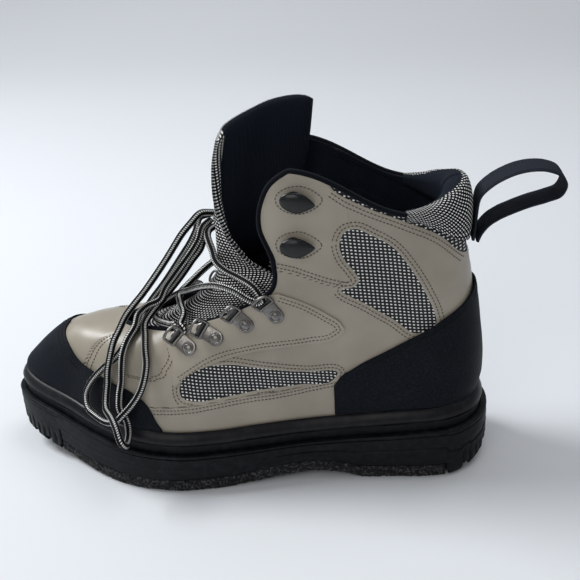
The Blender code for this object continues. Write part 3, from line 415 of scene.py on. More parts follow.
def distanceTo(x, z, line, closed=False):
    # distance from places of the side view to a line, negative inside a closed one
    line = np.asarray(line, float)
    a = line if closed else line[:-1]
    b = np.roll(line, -1, axis=0) if closed else line[1:]
    p = np.stack([np.ravel(x), np.ravel(z)], -1)[:, None]
    span = b - a
    t = np.clip(((p - a) * span).sum(-1) / np.maximum((span ** 2).sum(-1), 1e-15), 0, 1)
    best = np.linalg.norm(p - a - t[..., None] * span, axis=-1).min(axis=1)
    if closed:
        crosses = (a[:, 1] > p[..., 1]) != (b[:, 1] > p[..., 1])
        at = a[:, 0] + (p[..., 1] - a[:, 1]) / np.where(span[:, 1] == 0, 1e-12, span[:, 1]) * span[:, 0]
        best = np.where((crosses & (p[..., 0] < at)).sum(axis=1) % 2 == 1, -best, best)
    return best.reshape(np.shape(x))


# Camera, and the floor's colour

view = {"place": (-0.0125, -0.5508, 0.3676), "yaw": -0.1341, "pitch": 0.4287, "roll": -0.071,
        "lens": 59.6, "shift": 0.045, "floor": (0.70, 0.72, 0.745)}


def makeCamera():
    yaw, pitch, lean = view["yaw"], view["pitch"], view["roll"]
    ahead = Vector((math.sin(yaw) * math.cos(pitch), math.cos(yaw) * math.cos(pitch), -math.sin(pitch)))
    right = Vector((math.cos(yaw), -math.sin(yaw), 0))
    above = right.cross(ahead)
    cos, sin = math.cos(lean), math.sin(lean)
    right, above = cos * right + sin * above, cos * above - sin * right
    data = bpy.data.cameras.new("camera")
    data.lens, data.sensor_width, data.shift_x = view["lens"], 36, view["shift"]
    data.clip_start, data.clip_end = 0.01, 20
    camera = bpy.data.objects.new("camera", data)
    facing = Matrix((right, above, -ahead)).transposed()
    camera.matrix_world = Matrix.Translation(view["place"]) @ facing.to_4x4()
    bpy.context.scene.collection.objects.link(camera)
    bpy.context.scene.camera = camera


makeCamera()
print("camera placed")


# Material helpers

def addNode(tree, kind, inputs=None, **settings):
    made = tree.nodes.new("ShaderNode" + kind)
    for key, value in settings.items():
        setattr(made, key, value)
    for key, value in (inputs or {}).items():
        if isinstance(value, bpy.types.NodeSocket):
            tree.links.new(value, made.inputs[key])
        else:
            made.inputs[key].default_value = value
    return made


def newMaterial(name, colour, roughness, **sockets):
    material = bpy.data.materials.new(name)
    material.use_nodes = True
    shader = material.node_tree.nodes["Principled BSDF"]
    shader.inputs["Base Color"].default_value = (*colour, 1)
    shader.inputs["Roughness"].default_value = roughness
    for key, value in sockets.items():
        shader.inputs[key.replace("_", " ")].default_value = value
    return material, material.node_tree, shader


def mix(tree, factor, a, b):
    # a colour between two others, each a socket or three numbers
    a, b = (colour if isinstance(colour, bpy.types.NodeSocket) else (*colour, 1) for colour in (a, b))
    return addNode(tree, "Mix", {0: factor, 6: a, 7: b}, data_type="RGBA").outputs[2]


def maths(tree, operation, *values):
    return addNode(tree, "Math", dict(enumerate(values)), operation=operation).outputs[0]


def ranged(tree, value, low, high, outLow=0.0, outHigh=1.0):
    return addNode(tree, "MapRange", {"Value": value, "From Min": low, "From Max": high, "To Min": outLow,
                                      "To Max": outHigh}, interpolation_type="SMOOTHSTEP").outputs[0]


def objectPlace(tree):
    return addNode(tree, "TexCoord").outputs["Object"]


def surfacePlace(tree):
    return addNode(tree, "UVMap", uv_map="surface").outputs[0]


def attribute(tree, name):
    return addNode(tree, "Attribute", attribute_name=name).outputs["Fac"]


def inCell(tree, value):
    # -0.5 to 0.5 within each whole step of a value
    return maths(tree, "SUBTRACT", maths(tree, "FRACT", value), 0.5)


def paint(tree, shader, colour, roughness=None):
    tree.links.new(colour, shader.inputs["Base Color"])
    if roughness:
        tree.links.new(roughness, shader.inputs["Roughness"])


def noise(tree, scale, detail=3.0, rough=0.5, stretch=None):
    vector = objectPlace(tree)
    if stretch:
        vector = addNode(tree, "Mapping", {"Vector": vector, "Scale": stretch}).outputs[0]
    return addNode(tree, "TexNoise", {"Vector": vector, "Scale": scale, "Detail": detail,
                                      "Roughness": rough}).outputs[0]


def bump(tree, shader, height, distance, strength=1.0, before=None):
    made = addNode(tree, "Bump", {"Height": height, "Distance": distance, "Strength": strength})
    if before is not None:
        tree.links.new(before, made.inputs["Normal"])
    tree.links.new(made.outputs[0], shader.inputs["Normal"])
    return made.outputs[0]


def dots(tree, pitch, size, slant):
    # rounded dots on a square grid of the surface's own UV, 1 on a dot
    grid = addNode(tree, "Mapping", {"Vector": surfacePlace(tree), "Scale": (1 / pitch[0], 1 / pitch[1], 1),
                                     "Rotation": (0, 0, slant)}).outputs[0]
    parts = addNode(tree, "SeparateXYZ", {0: grid})
    far = []
    for k, flat in enumerate((0.92, 1.18)):
        cell = maths(tree, "MULTIPLY", inCell(tree, parts.outputs[k]), flat)
        far.append(maths(tree, "POWER", maths(tree, "ABSOLUTE", cell), 3.0))
    edge = maths(tree, "POWER", maths(tree, "ADD", *far), 1 / 3)
    return ranged(tree, edge, size - 0.05, size + 0.05, 1.0, 0.0)


def dotted(tree, pitch, size, slant):
    # colour and height of the dotted net
    mask = dots(tree, pitch, size, slant)
    weave = noise(tree, 2600, 2)
    white = mix(tree, weave, (0.76, 0.76, 0.74), (0.95, 0.95, 0.93))
    return mix(tree, mask, (0.0025, 0.0030, 0.0045), white), mask


# seam is a painted shadow colour, dark, for the lines along the seams
leatherLook = {"colour": (0.350, 0.314, 0.254), "dark": (0.285, 0.252, 0.200), "scuffed": (0.43, 0.40, 0.345),
               "cutEdge": (0.50, 0.47, 0.41), "seam": (0.055, 0.048, 0.038), "roughness": 0.40}


def leatherBase(tree):
    # colour and roughness of smooth coated leather: slow drift and faint scuffs
    drift = noise(tree, 18, 3)
    colour = mix(tree, ranged(tree, drift, 0.35, 0.68), leatherLook["dark"], leatherLook["colour"])
    scuff = ranged(tree, noise(tree, 90, 6, rough=0.7), 0.60, 0.74)
    colour = mix(tree, maths(tree, "MULTIPLY", scuff, 0.25), colour, leatherLook["scuffed"])
    return colour, ranged(tree, drift, 0.2, 0.8, 0.30, 0.44)


def leatherGrain(tree, shader):
    # fine pores over a soft unevenness
    pores = addNode(tree, "TexVoronoi", {"Vector": objectPlace(tree), "Scale": 1500.0})
    first = bump(tree, shader, pores.outputs["Distance"], 0.00005, 0.35)
    return bump(tree, shader, noise(tree, 140, 4), 0.0003, 0.30, first)


def makeLeather():
    material, tree, shader = newMaterial("leather", leatherLook["colour"], leatherLook["roughness"],
                                         Specular_IOR_Level=0.5, Coat_Weight=0.12, Coat_Roughness=0.35)
    paint(tree, shader, *leatherBase(tree))
    leatherGrain(tree, shader)
    return material


def makeUpperMaterial():
    # leather panels and mesh windows told apart by their distance to the window's edge
    material, tree, shader = newMaterial("upperSkin", leatherLook["colour"], leatherLook["roughness"],
                                         Specular_IOR_Level=0.5)
    colour, roughness = leatherBase(tree)
    net, mask = dotted(tree, (0.0024, 0.0021), 0.25, 0.14)
    window, seam = attribute(tree, "window"), attribute(tree, "seam")
    inside = ranged(tree, window, -0.00012, 0.00012, 1.0, 0.0)
    cutEdge = ranged(tree, window, 0.0, 0.0008, 1.0, 0.0)
    lighter = mix(tree, maths(tree, "MULTIPLY", cutEdge, 0.35), colour, leatherLook["cutEdge"])
    # a painted shadow line along the seams, where one panel's edge steps over the next
    line = ranged(tree, maths(tree, "ABSOLUTE", seam), 0.00022, 0.00060, 1.0, 0.0)
    seamShaded = mix(tree, maths(tree, "MULTIPLY", line, 0.85), lighter, leatherLook["seam"])
    paint(tree, shader, mix(tree, inside, seamShaded, net),
          maths(tree, "ADD", roughness, maths(tree, "MULTIPLY", inside, 0.35)))
    raised = maths(tree, "MULTIPLY", mask, inside)
    netBump = bump(tree, shader, raised, 0.0005, 0.8, leatherGrain(tree, shader))
    step = maths(tree, "SUBTRACT", maths(tree, "MULTIPLY", inside, -1.0), maths(tree, "MULTIPLY", line, 0.5))
    bump(tree, shader, step, 0.0008, 0.9, netBump)
    return material


def makeNet(name, pitch, size, slant):
    # the dotted net, with the navy lining instead where the value lined is 1
    material, tree, shader = newMaterial(name, (0.3, 0.3, 0.3), 0.85, Specular_IOR_Level=0.12)
    net, mask = dotted(tree, pitch, size, slant)
    rib = addNode(tree, "TexWave", {"Vector": surfacePlace(tree), "Scale": 330.0, "Distortion": 0.6, "Detail": 1.0},
                  bands_direction="X").outputs["Fac"]
    navy = mix(tree, rib, (0.0020, 0.0031, 0.0058), (0.0120, 0.0170, 0.0280))
    inside = ranged(tree, attribute(tree, "lined"), 0.45, 0.55)
    paint(tree, shader, mix(tree, inside, net, navy))
    height = addNode(tree, "Mix", {0: inside, 2: mask, 3: maths(tree, "MULTIPLY", rib, 0.5)}).outputs[0]
    bump(tree, shader, height, 0.0005, 0.7)
    return material


def makeKnit(name, colour, light, scale=330.0, distance=0.0003):
    # ribbed navy-black cloth; the fuzz on its ribs is painted lighter as small highlights
    material, tree, shader = newMaterial(name, colour, 0.9, Sheen_Weight=0.04, Specular_IOR_Level=0.10)
    rib = addNode(tree, "TexWave", {"Vector": objectPlace(tree), "Scale": scale, "Distortion": 0.8, "Detail": 2.0},
                  bands_direction="DIAGONAL").outputs["Fac"]
    fuzzAndHighlights = noise(tree, 1800, 3)
    # lighter where rib and fuzz meet: small painted highlights
    paint(tree, shader, mix(tree, maths(tree, "MULTIPLY", rib, fuzzAndHighlights), colour, light))
    bump(tree, shader, maths(tree, "ADD", rib, fuzzAndHighlights), distance, 0.6)
    return material


def makeGrained(name, colour, light, roughness, scale, distance, **sockets):
    # moulded or coated stuff with a pebbled face
    material, tree, shader = newMaterial(name, colour, roughness, **sockets)
    pebble = noise(tree, scale, 6, rough=0.62)
    slow = noise(tree, 22, 3)
    tone = mix(tree, ranged(tree, pebble, 0.42, 0.70), colour, light)
    worn = mix(tree, maths(tree, "MULTIPLY", ranged(tree, slow, 0.5, 0.75), 0.4), tone, light)
    paint(tree, shader, worn, ranged(tree, slow, 0.3, 0.7, roughness - 0.07, roughness + 0.08))
    bump(tree, shader, pebble, distance, 0.8)
    return material


def makeFelt():
    # pressed grey and black fibres with light specks
    material, tree, shader = newMaterial("felt", (0.05, 0.05, 0.05), 1.0, Sheen_Weight=0.04,
                                         Specular_IOR_Level=0.08)
    fibre = noise(tree, 900, 5, rough=0.7, stretch=(1, 1, 1.8))
    speck = noise(tree, 560, 4, rough=0.85)
    base = mix(tree, ranged(tree, fibre, 0.35, 0.7), (0.0025, 0.0026, 0.0030), (0.030, 0.031, 0.033))
    paint(tree, shader, mix(tree, ranged(tree, speck, 0.50, 0.62), base, (0.115, 0.118, 0.122)))
    bump(tree, shader, fibre, 0.0016, 1.0)
    return material


def makeLace():
    # round braid: black yarn with rows of white flecks round it, each row a zigzag along its length
    material, tree, shader = newMaterial("lace", (0.02, 0.02, 0.02), 0.75, Specular_IOR_Level=0.15)
    turn, length = addNode(tree, "SeparateXYZ", {0: surfacePlace(tree)}).outputs[:2]
    row = inCell(tree, maths(tree, "MULTIPLY", turn, 4.0))
    pair = inCell(tree, maths(tree, "MULTIPLY", turn, 2.0))
    slant = maths(tree, "MULTIPLY", maths(tree, "ABSOLUTE", pair), 1.6)
    along = maths(tree, "ADD", maths(tree, "MULTIPLY", length, 1 / lace["fleckPitch"]), slant)
    fleck = maths(tree, "ABSOLUTE", inCell(tree, along))
    white = maths(tree, "MULTIPLY", ranged(tree, fleck, 0.20, 0.30, 1.0, 0.0),
                  ranged(tree, maths(tree, "ABSOLUTE", row), 0.15, 0.24, 1.0, 0.0))
    paint(tree, shader, mix(tree, white, (0.0020, 0.0022, 0.0028), (0.86, 0.86, 0.83)))
    strands = maths(tree, "SINE", maths(tree, "MULTIPLY", along, 2 * math.pi))
    bump(tree, shader, maths(tree, "ADD", white, maths(tree, "MULTIPLY", strands, 0.3)), 0.0004, 0.7)
    return material


def makeWeb():
    # woven tape with ribs along it, painted lighter on the ribs' crests as a highlight
    material, tree, shader = newMaterial("web", (0.010, 0.012, 0.020), 0.8, Specular_IOR_Level=0.14)
    across, along = addNode(tree, "SeparateXYZ", {0: surfacePlace(tree)}).outputs[:2]
    rib = maths(tree, "SINE", maths(tree, "MULTIPLY", across, 2 * math.pi / 0.0011))
    pick = maths(tree, "SINE", maths(tree, "MULTIPLY", along, 2 * math.pi / 0.0013))
    cloth = maths(tree, "ADD", maths(tree, "MULTIPLY", rib, 0.35), maths(tree, "MULTIPLY", pick, 0.15))
    # the weave's height as colour: the crests painted lighter, a painted highlight
    tone = ranged(tree, cloth, -0.5, 0.5)
    paint(tree, shader, mix(tree, tone, (0.0016, 0.0022, 0.0040), (0.024, 0.030, 0.045)))
    bump(tree, shader, cloth, 0.0005, 0.8)
    return material


def makeMetal(name, colour, roughness, scale, **sockets):
    # polished stuff with duller, rougher patches
    material, tree, shader = newMaterial(name, colour, roughness, **sockets)
    wear = noise(tree, scale, 4, rough=0.6)
    dark = tuple(c * 0.8 for c in colour)
    paint(tree, shader, mix(tree, ranged(tree, wear, 0.3, 0.65), dark, colour),
          ranged(tree, wear, 0.3, 0.7, roughness + 0.12, roughness))
    bump(tree, shader, wear, 0.00004, 0.3)
    return material


leather = makeLeather()
upperSkin = makeUpperMaterial()
collarNet = makeNet("collarNet", (0.0025, 0.0024), 0.27, 0.62)
tongueNet = makeNet("tongueNet", (0.0024, 0.0022), 0.26, 0.0)
knit = makeKnit("knit", (0.0022, 0.0034, 0.0062), (0.018, 0.025, 0.040))
binding = makeKnit("binding", (0.0018, 0.0024, 0.0045), (0.010, 0.013, 0.021), 700.0, 0.0002)
capSkin = makeGrained("capSkin", (0.0011, 0.0022, 0.0044), (0.0062, 0.0098, 0.0165), 0.60, 900, 0.00035,
                      Specular_IOR_Level=0.12)
rubber = makeGrained("rubber", (0.0018, 0.0025, 0.0037), (0.0078, 0.0092, 0.0118), 0.48, 260, 0.00018,
                     Specular_IOR_Level=0.15)
stripRubber = makeGrained("stripRubber", (0.0026, 0.0031, 0.0042), (0.0095, 0.0105, 0.0130), 0.40, 180, 0.00012,
                          Specular_IOR_Level=0.22)
felt = makeFelt()
lace = {"diameter": 0.0045, "outerLength": 0.352, "innerLength": 0.331, "fleckPitch": 0.00135,
        "knotAt": (-0.346, 0.122, 0.703), "knotRadii": (0.0080, 0.0090, 0.0095), "spacing": 0.009}
laceBraid = makeLace()
web = makeWeb()
steel = makeMetal("steel", (0.21, 0.20, 0.19), 0.22, 420, Metallic=1.0)
blackMetal = makeMetal("blackMetal", (0.0040, 0.0050, 0.0062), 0.24, 200, Specular_IOR_Level=0.40)
blackPlastic = makeGrained("blackPlastic", (0.010, 0.010, 0.011), (0.022, 0.022, 0.024), 0.45, 500, 0.0001)
thread = makeGrained("thread", (0.100, 0.083, 0.066), (0.190, 0.163, 0.132), 0.8, 1600, 0.0002)
blackThread = makeGrained("blackThread", (0.0020, 0.0025, 0.0035), (0.010, 0.012, 0.015), 0.8, 1600, 0.0002,
                          Specular_IOR_Level=0.2)
footbed = makeKnit("footbed", (0.014, 0.015, 0.018), (0.050, 0.052, 0.058), 500.0)
print("materials made")


# The lace

# routes: the strands that show were read off the photograph as points, which were turned into places with
# the view's camera, and the hidden ones were guessed. On the upper they are level, turn and distance out of its
# face, elsewhere the shares that placed() takes. Each knotWays entry is the way in which an end leaves the knot.
laceBar = ((6.80, -0.234, 0.0062), (6.92, -0.200, 0.0040), (7.02, -0.110, 0.0018), (7.08, 0.0, 0.0014),
           (7.02, 0.110, 0.0018), (6.92, 0.200, 0.0040), (6.80, 0.234, 0.0062))
laceRise = ((6.92, -0.238, 0.0062), (7.20, -0.215, 0.0050), (7.61, -0.182, 0.0040), (8.02, -0.112, 0.0038),
            (8.20, -0.007, 0.0040), (8.60, 0.055, 0.0044), (9.05, 0.120, 0.0046), (9.25, 0.190, 0.0046),
            (9.15, 0.255, 0.0046), (8.72, 0.330, 0.0046), (8.62, 0.350, 0.0046), (8.76, 0.356, 0.0046),
            (8.98, 0.340, 0.0054), (9.18, 0.322, 0.0052))
laceTurn = ((6.55, -0.252, 0.0046), (6.44, -0.264, 0.0044), (6.56, -0.270, 0.0046), (6.76, -0.256, 0.0056))
outerLead = ((-0.308, -0.272, 0.575), (-0.331, -0.240, 0.590), (-0.351, -0.188, 0.612), (-0.3585, -0.139, 0.636))
innerLead = ((-0.292, 0.280, 0.580), (-0.318, 0.240, 0.600), (-0.336, 0.205, 0.625))
longDown = ((-0.417, -0.035, 0.700), (-0.452, -0.070, 0.605), (-0.4925, -0.113, 0.500), (-0.516, -0.139, 0.445),
            (-0.531, -0.161, 0.414), (-0.5495, -0.183, 0.364), (-0.559, -0.226, 0.323))
longOnToe = ((4.63, -0.231, 0.0078), (3.88, -0.268, 0.0084), (3.45, -0.281, 0.0084), (2.96, -0.292, 0.0066),
             (2.35, -0.305, 0.0070), (2.00, -0.315, 0.0096), (1.72, -0.330, 0.0142))
longFold = ((-0.554, -0.546, 0.064), (-0.545, -0.600, 0.045), (-0.539, -0.624, 0.016), (-0.535, -0.606, -0.015),
            (-0.5345, -0.553, -0.033), (-0.535, -0.496, -0.020), (-0.538, -0.455, 0.013))
longOffToe = ((1.62, -0.340, 0.0058), (2.10, -0.327, 0.0050), (2.48, -0.323, 0.0050), (3.13, -0.309, 0.0040),
              (3.84, -0.288, 0.0050), (4.76, -0.252, 0.0070), (5.18, -0.232, 0.0078), (5.90, -0.185, 0.0092),
              (6.71, -0.105, 0.0128))
longUp = ((-0.4814, -0.113, 0.420), (-0.4624, -0.096, 0.477), (-0.4345, -0.070, 0.547), (-0.407, -0.026, 0.613),
          (-0.388, 0.010, 0.672))
roundDown = ((-0.389, 0.045, 0.619), (-0.411, 0.012, 0.564), (-0.4404, 0.004, 0.4875), (-0.4614, -0.026, 0.442),
             (-0.4796, -0.059, 0.4035))
roundOnToe = ((6.91, -0.100, 0.0062), (6.26, -0.165, 0.0046), (5.57, -0.237, 0.0034), (4.82, -0.289, 0.0034),
              (4.17, -0.320, 0.0030), (3.62, -0.337, 0.0034), (3.16, -0.347, 0.0042), (2.70, -0.352, 0.0054),
              (2.31, -0.352, 0.0066), (1.95, -0.351, 0.0090), (1.63, -0.349, 0.0112), (1.21, -0.343, 0.0108),
              (1.03, -0.333, 0.0096), (0.97, -0.321, 0.0090), (1.08, -0.305, 0.0086), (1.24, -0.288, 0.0078),
              (1.60, -0.276, 0.0064), (2.15, -0.268, 0.0056), (2.74, -0.267, 0.0052), (3.16, -0.265, 0.0042),
              (3.62, -0.263, 0.0030), (4.27, -0.257, 0.0030), (5.02, -0.229, 0.0028), (5.64, -0.187, 0.0030),
              (6.35, -0.124, 0.0036))
roundUp = ((-0.508, -0.061, 0.388), (-0.492, -0.043, 0.426), (-0.468, -0.013, 0.483), (-0.439, 0.015, 0.561),
           (-0.408, 0.045, 0.647))
knotWays = {"outerLead": (-0.55, -0.80, -0.20), "innerLead": (0.05, 0.80, -0.60), "longDown": (-0.62, -0.50, 0.62),
            "longUp": (-0.92, -0.36, 0.05), "roundDown": (-0.86, -0.10, -0.50), "roundUp": (-0.92, 0.20, 0.34)}


def knotSide(name):
    # two points straight out of the knot's side
    radii = np.array(lace["knotRadii"])
    way = np.array(knotWays[name])
    foot = way / np.linalg.norm(way / radii)
    return placed(lace["knotAt"]) + foot + unit(foot / radii ** 2) * np.array([[0.0015], [lace["diameter"]]])


def onUpper(route):
    level, turn, out = np.array(route).T
    return wallPoint(level, turn, out)


def mirrored(route):
    return [(level, -turn, out) for level, turn, out in route]


def knotTurns():
    # turns of cord wound over an ellipsoid, each a tilted ring
    radii = np.array(lace["knotRadii"]) - lace["diameter"] / 2
    for tilt, lean, start in ((0.2, 0.0, 0.0), (1.1, 0.9, 1.0), (0.7, 2.3, 2.0), (1.45, 1.6, 0.4)):
        t = np.linspace(0, 2 * math.pi * 0.97, 56) + start
        ring = np.stack([np.cos(t), np.sin(t) * math.cos(tilt), np.sin(t) * math.sin(tilt)], -1)
        ring = ring @ np.array(Matrix.Rotation(lean, 3, "Z")).T * radii * (0.98 + 0.05 * np.sin(3 * t))[:, None]
        yield tubeMesh(placed(lace["knotAt"]) + ring, lace["diameter"] / 2, 14)


def laceMesh(name, node, parts):
    points, faces, uv = parts
    piece = makePiece(name, points, faces, [laceBraid], uv)
    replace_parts(piece, node)
    return piece


def makeLaces():
    routes = {
        "laceLongLoop": ([knotSide("longDown"), placed(longDown), onUpper(longOnToe), placed(longFold),
                          onUpper(longOffToe), placed(longUp), knotSide("longUp")[::-1]], "lace_outer"),
        "laceRoundLoop": ([knotSide("roundDown"), placed(roundDown), onUpper(roundOnToe), placed(roundUp),
                           knotSide("roundUp")[::-1]], "lace_inner")}
    made = {}
    for name, (stretches, node) in routes.items():
        # first the smooth curve that the solids' tubes follow, then a finer one through it
        path = alongCurve(alongCurve(np.concatenate(stretches), lace["spacing"]), 0.0012)
        made[name] = laceMesh(name, node, tubeMesh(path, lace["diameter"] / 2, 20)), path
    # the rest of the lace is one length through both lowest brackets and both highest
    whole = [knotSide("outerLead"), placed(outerLead)[::-1], onUpper(mirrored(laceRise))[::-1],
             onUpper(mirrored(laceTurn))[::-1], onUpper(laceBar)[::-1], onUpper(laceTurn), onUpper(laceRise),
             placed(innerLead), knotSide("innerLead")[::-1]]
    path = alongCurve(np.concatenate(whole), 0.0013)
    laceMesh("laceCrossings", "lace_crossings", tubeMesh(path, lace["diameter"] / 2, 18))
    knot = laceMesh("laceKnot", "lace_knot", joined(knotTurns()))
    for name, length in (("laceLongLoop", lace["outerLength"]), ("laceRoundLoop", lace["innerLength"])):
        piece, path = made[name]
        tuple(path[0])


makeLaces()
print("laces laid")


# The sole

sole = {"feltStart": 0.086, "feltEnd": 0.889, "lugDepth": 0.0028, "inset": 0.0015, "ledge": 0.004, "step": 0.0012,
        "ribPitch": 0.0056}


def knobEdges(first, last, count):
    pitch = (last - first) / (count - 0.4)
    rises = first + pitch * np.arange(count)
    return list(zip(rises, rises + pitch * 0.6))


knobs = knobEdges(0.012, sole["feltStart"] - 0.006, 2) + knobEdges(sole["feltEnd"] + 0.006, 0.985, 3)


def onKnob(station):
    # 1 on a knob, 0 in the gaps between
    return sum(smooth(a - sole["step"], a, station) * (1 - smooth(b, b + sole["step"], station)) for a, b in knobs)


def underRubber(station, share):
    # the rubber's lower face: down to the ground on the knobs, above the felt between the bumpers
    overFelt = smooth(sole["feltStart"] - sole["step"], sole["feltStart"], station)
    overFelt = overFelt * (1 - smooth(sole["feltEnd"], sole["feltEnd"] + sole["step"], station))
    bumper = treadHeight(share) + sole["lugDepth"] * (1 - onKnob(station)) + boot["gap"]
    return bumper + overFelt * (treadHeight(share) + boot["felt"] + boot["gap"] - bumper)


def soleSolid(name, stations, levels, material, node, wobble):
    # a solid from rings of the sole's outline, each at an inset and a height
    grid = wobble(np.array([soleRing(stations, inset, height) for inset, height in levels]))
    piece = makePiece(name, grid, closedTube(len(levels), 2 * len(stations)), [material], sharp=32)
    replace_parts(piece, node)


def makeRubber():
    step = sole["step"]
    edges = [v for low, high in knobs for v in (low - step, low, high, high + step)]
    edges += [sole["feltStart"] - step, sole["feltStart"], sole["feltEnd"], sole["feltEnd"] + step]
    stations = soleStations(count=300, extra=edges)
    reach = lengthAlong(soleRing(stations, 0.0, onGround)[:len(stations), :2])

    def ribs(at):
        # short teeth moulded round the toe and the heel, spaced by length along the outline
        tooth = smooth(0.30, 0.45, np.abs((np.interp(at, stations, reach) / sole["ribPitch"]) % 1 - 0.5))
        return 0.0012 * tooth * (smooth(0.875, 0.885, at) + 1 - smooth(0.052, 0.060, at))

    def rising(up):
        # a height given as a share of the way from the lower face to the rim
        return lambda at, share: underRubber(at, share) + up * (rimHeight(share) - underRubber(at, share))

    # the side's section: insets and how far up each one is, with a groove, fading lines and a rolled rim
    section = ((0.0022, 0.0), (0.0008, 0.03), (ribs, 0.08), (ribs, 0.30), (lambda at: ribs(at) * 0.3, 0.40),
               (-0.0002, 0.47), (lambda at: 0.0007 * smooth(0.47, 0.40, at), 0.52), (0.0, 0.55), (-0.0002, 0.72),
               (0.0, 0.86), (0.0007, 0.885), (0.0, 0.91), (-0.0002, 0.95), (0.0003, 0.985), (0.0012, 1.0),
               (sole["ledge"] - 0.0006, 1.0))
    levels = [(inset, rising(up)) for inset, up in section]
    levels += [(sole["ledge"], lambda at, share: rimHeight(share) - 0.0006),
               (sole["ledge"], lambda at, share: seatHeight(share))]
    soleSolid("outsoleRubber", stations, levels, rubber, "outsole_rubber",
              lambda grid: grid + waves(grid, 0.06, 3)[..., None] * np.array([0.0, 0.00025, 0.00015]))


def makeFeltSole():
    gap = boot["gap"] / boot["soleLength"]
    stations = soleStations(sole["feltStart"] + gap, sole["feltEnd"] - gap, 320)
    section = ((0.0012, 0), (0.0003, 0.04), (0, 0.16), (0, 0.32), (0, 0.48), (0, 0.64), (0, 0.80), (0, 0.92), (0, 1))
    levels = [(sole["inset"] + inset, lambda at, share, up=up: treadHeight(share) + boot["felt"] * up)
              for inset, up in section]

    def shaggy(grid):
        # cut edges of the felt stand out and in by a few tenths of a millimetre
        rng = np.random.default_rng(5)
        away = rng.normal(size=grid.shape[:2]) * 0.00022 + waves(grid, 0.012, 9) * 0.0003
        away[0] *= 0.3
        away[-1] = 0
        sideways = unit((grid - grid.mean(axis=1, keepdims=True)) * np.array([0, 1, 0]))
        return grid + sideways * away[..., None]
    soleSolid("outsoleFelt", stations, levels, felt, "outsole_felt", shaggy)


def makeStrip():
    # the rounded strip, a section carried round the sole
    section = np.array([(0.0038, 0.0003), (0.0031, 0.0012), (0.0029, 0.0026), (0.0033, 0.0042), (0.0041, 0.0058),
                        (0.0052, 0.0074), (0.0060, 0.0083), (0.0070, 0.0086), (0.0078, 0.0080), (0.0078, 0.0003)])
    stations = soleStations(count=190)
    grid = np.array([soleRing(stations, inset, lambda at, share, rise=rise: seatHeight(share) + rise)
                     for inset, rise in section])
    grid = grid + waves(grid, 0.045, 12)[..., None] * np.array([0.0, 0.0, 0.00022])
    # the outline's two ends are in it twice
    grid = np.delete(grid, (len(stations), 2 * len(stations) - 1), axis=1)
    strip = makePiece("randStrip", grid, gridFaces(*grid.shape[:2], True, True), [stripRubber])
    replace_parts(strip, "rand_strip")


makeRubber()
makeFeltSole()
makeStrip()
print("sole built")


# Panels of the upper, as places in the side view

panels = {
    "ankle": ((-0.036, 0.160), (-0.032, 0.167), (-0.027, 0.168), (-0.0175, 0.1635), (-0.006, 0.156), (0.004, 0.143),
              (0.013, 0.126), (0.019, 0.111), (0.020, 0.106), (0.009, 0.0995), (-0.0065, 0.110), (-0.0225, 0.121),
              (-0.036, 0.1305), (-0.0275, 0.1325), (-0.0255, 0.1355), (-0.029, 0.143), (-0.034, 0.150)),
    "vamp": ((-0.137, 0.071), (-0.134, 0.076), (-0.126, 0.0805), (-0.109, 0.083), (-0.083, 0.079), (-0.060, 0.0757),
             (-0.040, 0.0735), (-0.042, 0.070), (-0.0655, 0.067), (-0.088, 0.065), (-0.111, 0.062), (-0.129, 0.061),
             (-0.136, 0.063)),
    "collar": ((-0.039, 0.1922), (-0.030, 0.1860), (-0.021, 0.1813), (-0.001, 0.1723), (0.020, 0.1613),
               (0.0375, 0.1433), (0.060, 0.1373), (0.060, 0.230), (-0.020, 0.230)),
    "wedge": ((-0.1405, 0.0700), (-0.129, 0.0785), (-0.118, 0.0830), (-0.090, 0.0908), (-0.056, 0.0960),
              (-0.040, 0.0995), (-0.0350, 0.1045), (-0.0365, 0.1085), (-0.045, 0.1155), (-0.058, 0.1225),
              (-0.0735, 0.1280)),
    "wedgeSeam": ((-0.137, 0.0740), (-0.118, 0.0850), (-0.090, 0.0928), (-0.056, 0.0980), (-0.042, 0.1010),
                  (-0.0375, 0.1052), (-0.0385, 0.1078), (-0.046, 0.1135), (-0.058, 0.1203), (-0.0725, 0.1255)),
    "band": ((-0.158, 0.056), (-0.137, 0.0575), (-0.108, 0.0605), (-0.080, 0.0630), (-0.060, 0.066),
             (-0.043, 0.069), (-0.030, 0.072)),
    "hookPanel": ((-0.079, 0.1435), (-0.060, 0.139), (-0.047, 0.1345), (-0.033, 0.131)),
    "plug": ((2.80, 0.221), (3.62, 0.201), (4.27, 0.176), (4.85, 0.152), (5.34, 0.132)),
    "patch": ((3.29, 0.300), (3.32, 0.332), (3.45, 0.348), (3.97, 0.352), (4.66, 0.338), (5.30, 0.305)),
    "capTop": ((0.0, 4.12), (0.04, 3.98), (0.14, 3.55), (0.21, 3.03), (0.285, 2.74), (0.340, 2.5), (0.370, 2.05),
               (0.384, 1.62), (0.396, 1.18), (0.404, 0.84)),
    "counterTop": ((0.620, 2.75), (0.624, 3.10), (0.640, 3.62), (0.684, 4.5), (0.729, 5.3), (0.786, 6.05),
                   (0.865, 6.65), (0.935, 6.98), (1.0, 7.08)),
    "windowDepth": 0.0007, "rise": 0.0005, "toeCapEnd": 0.404, "counterStart": 0.62}
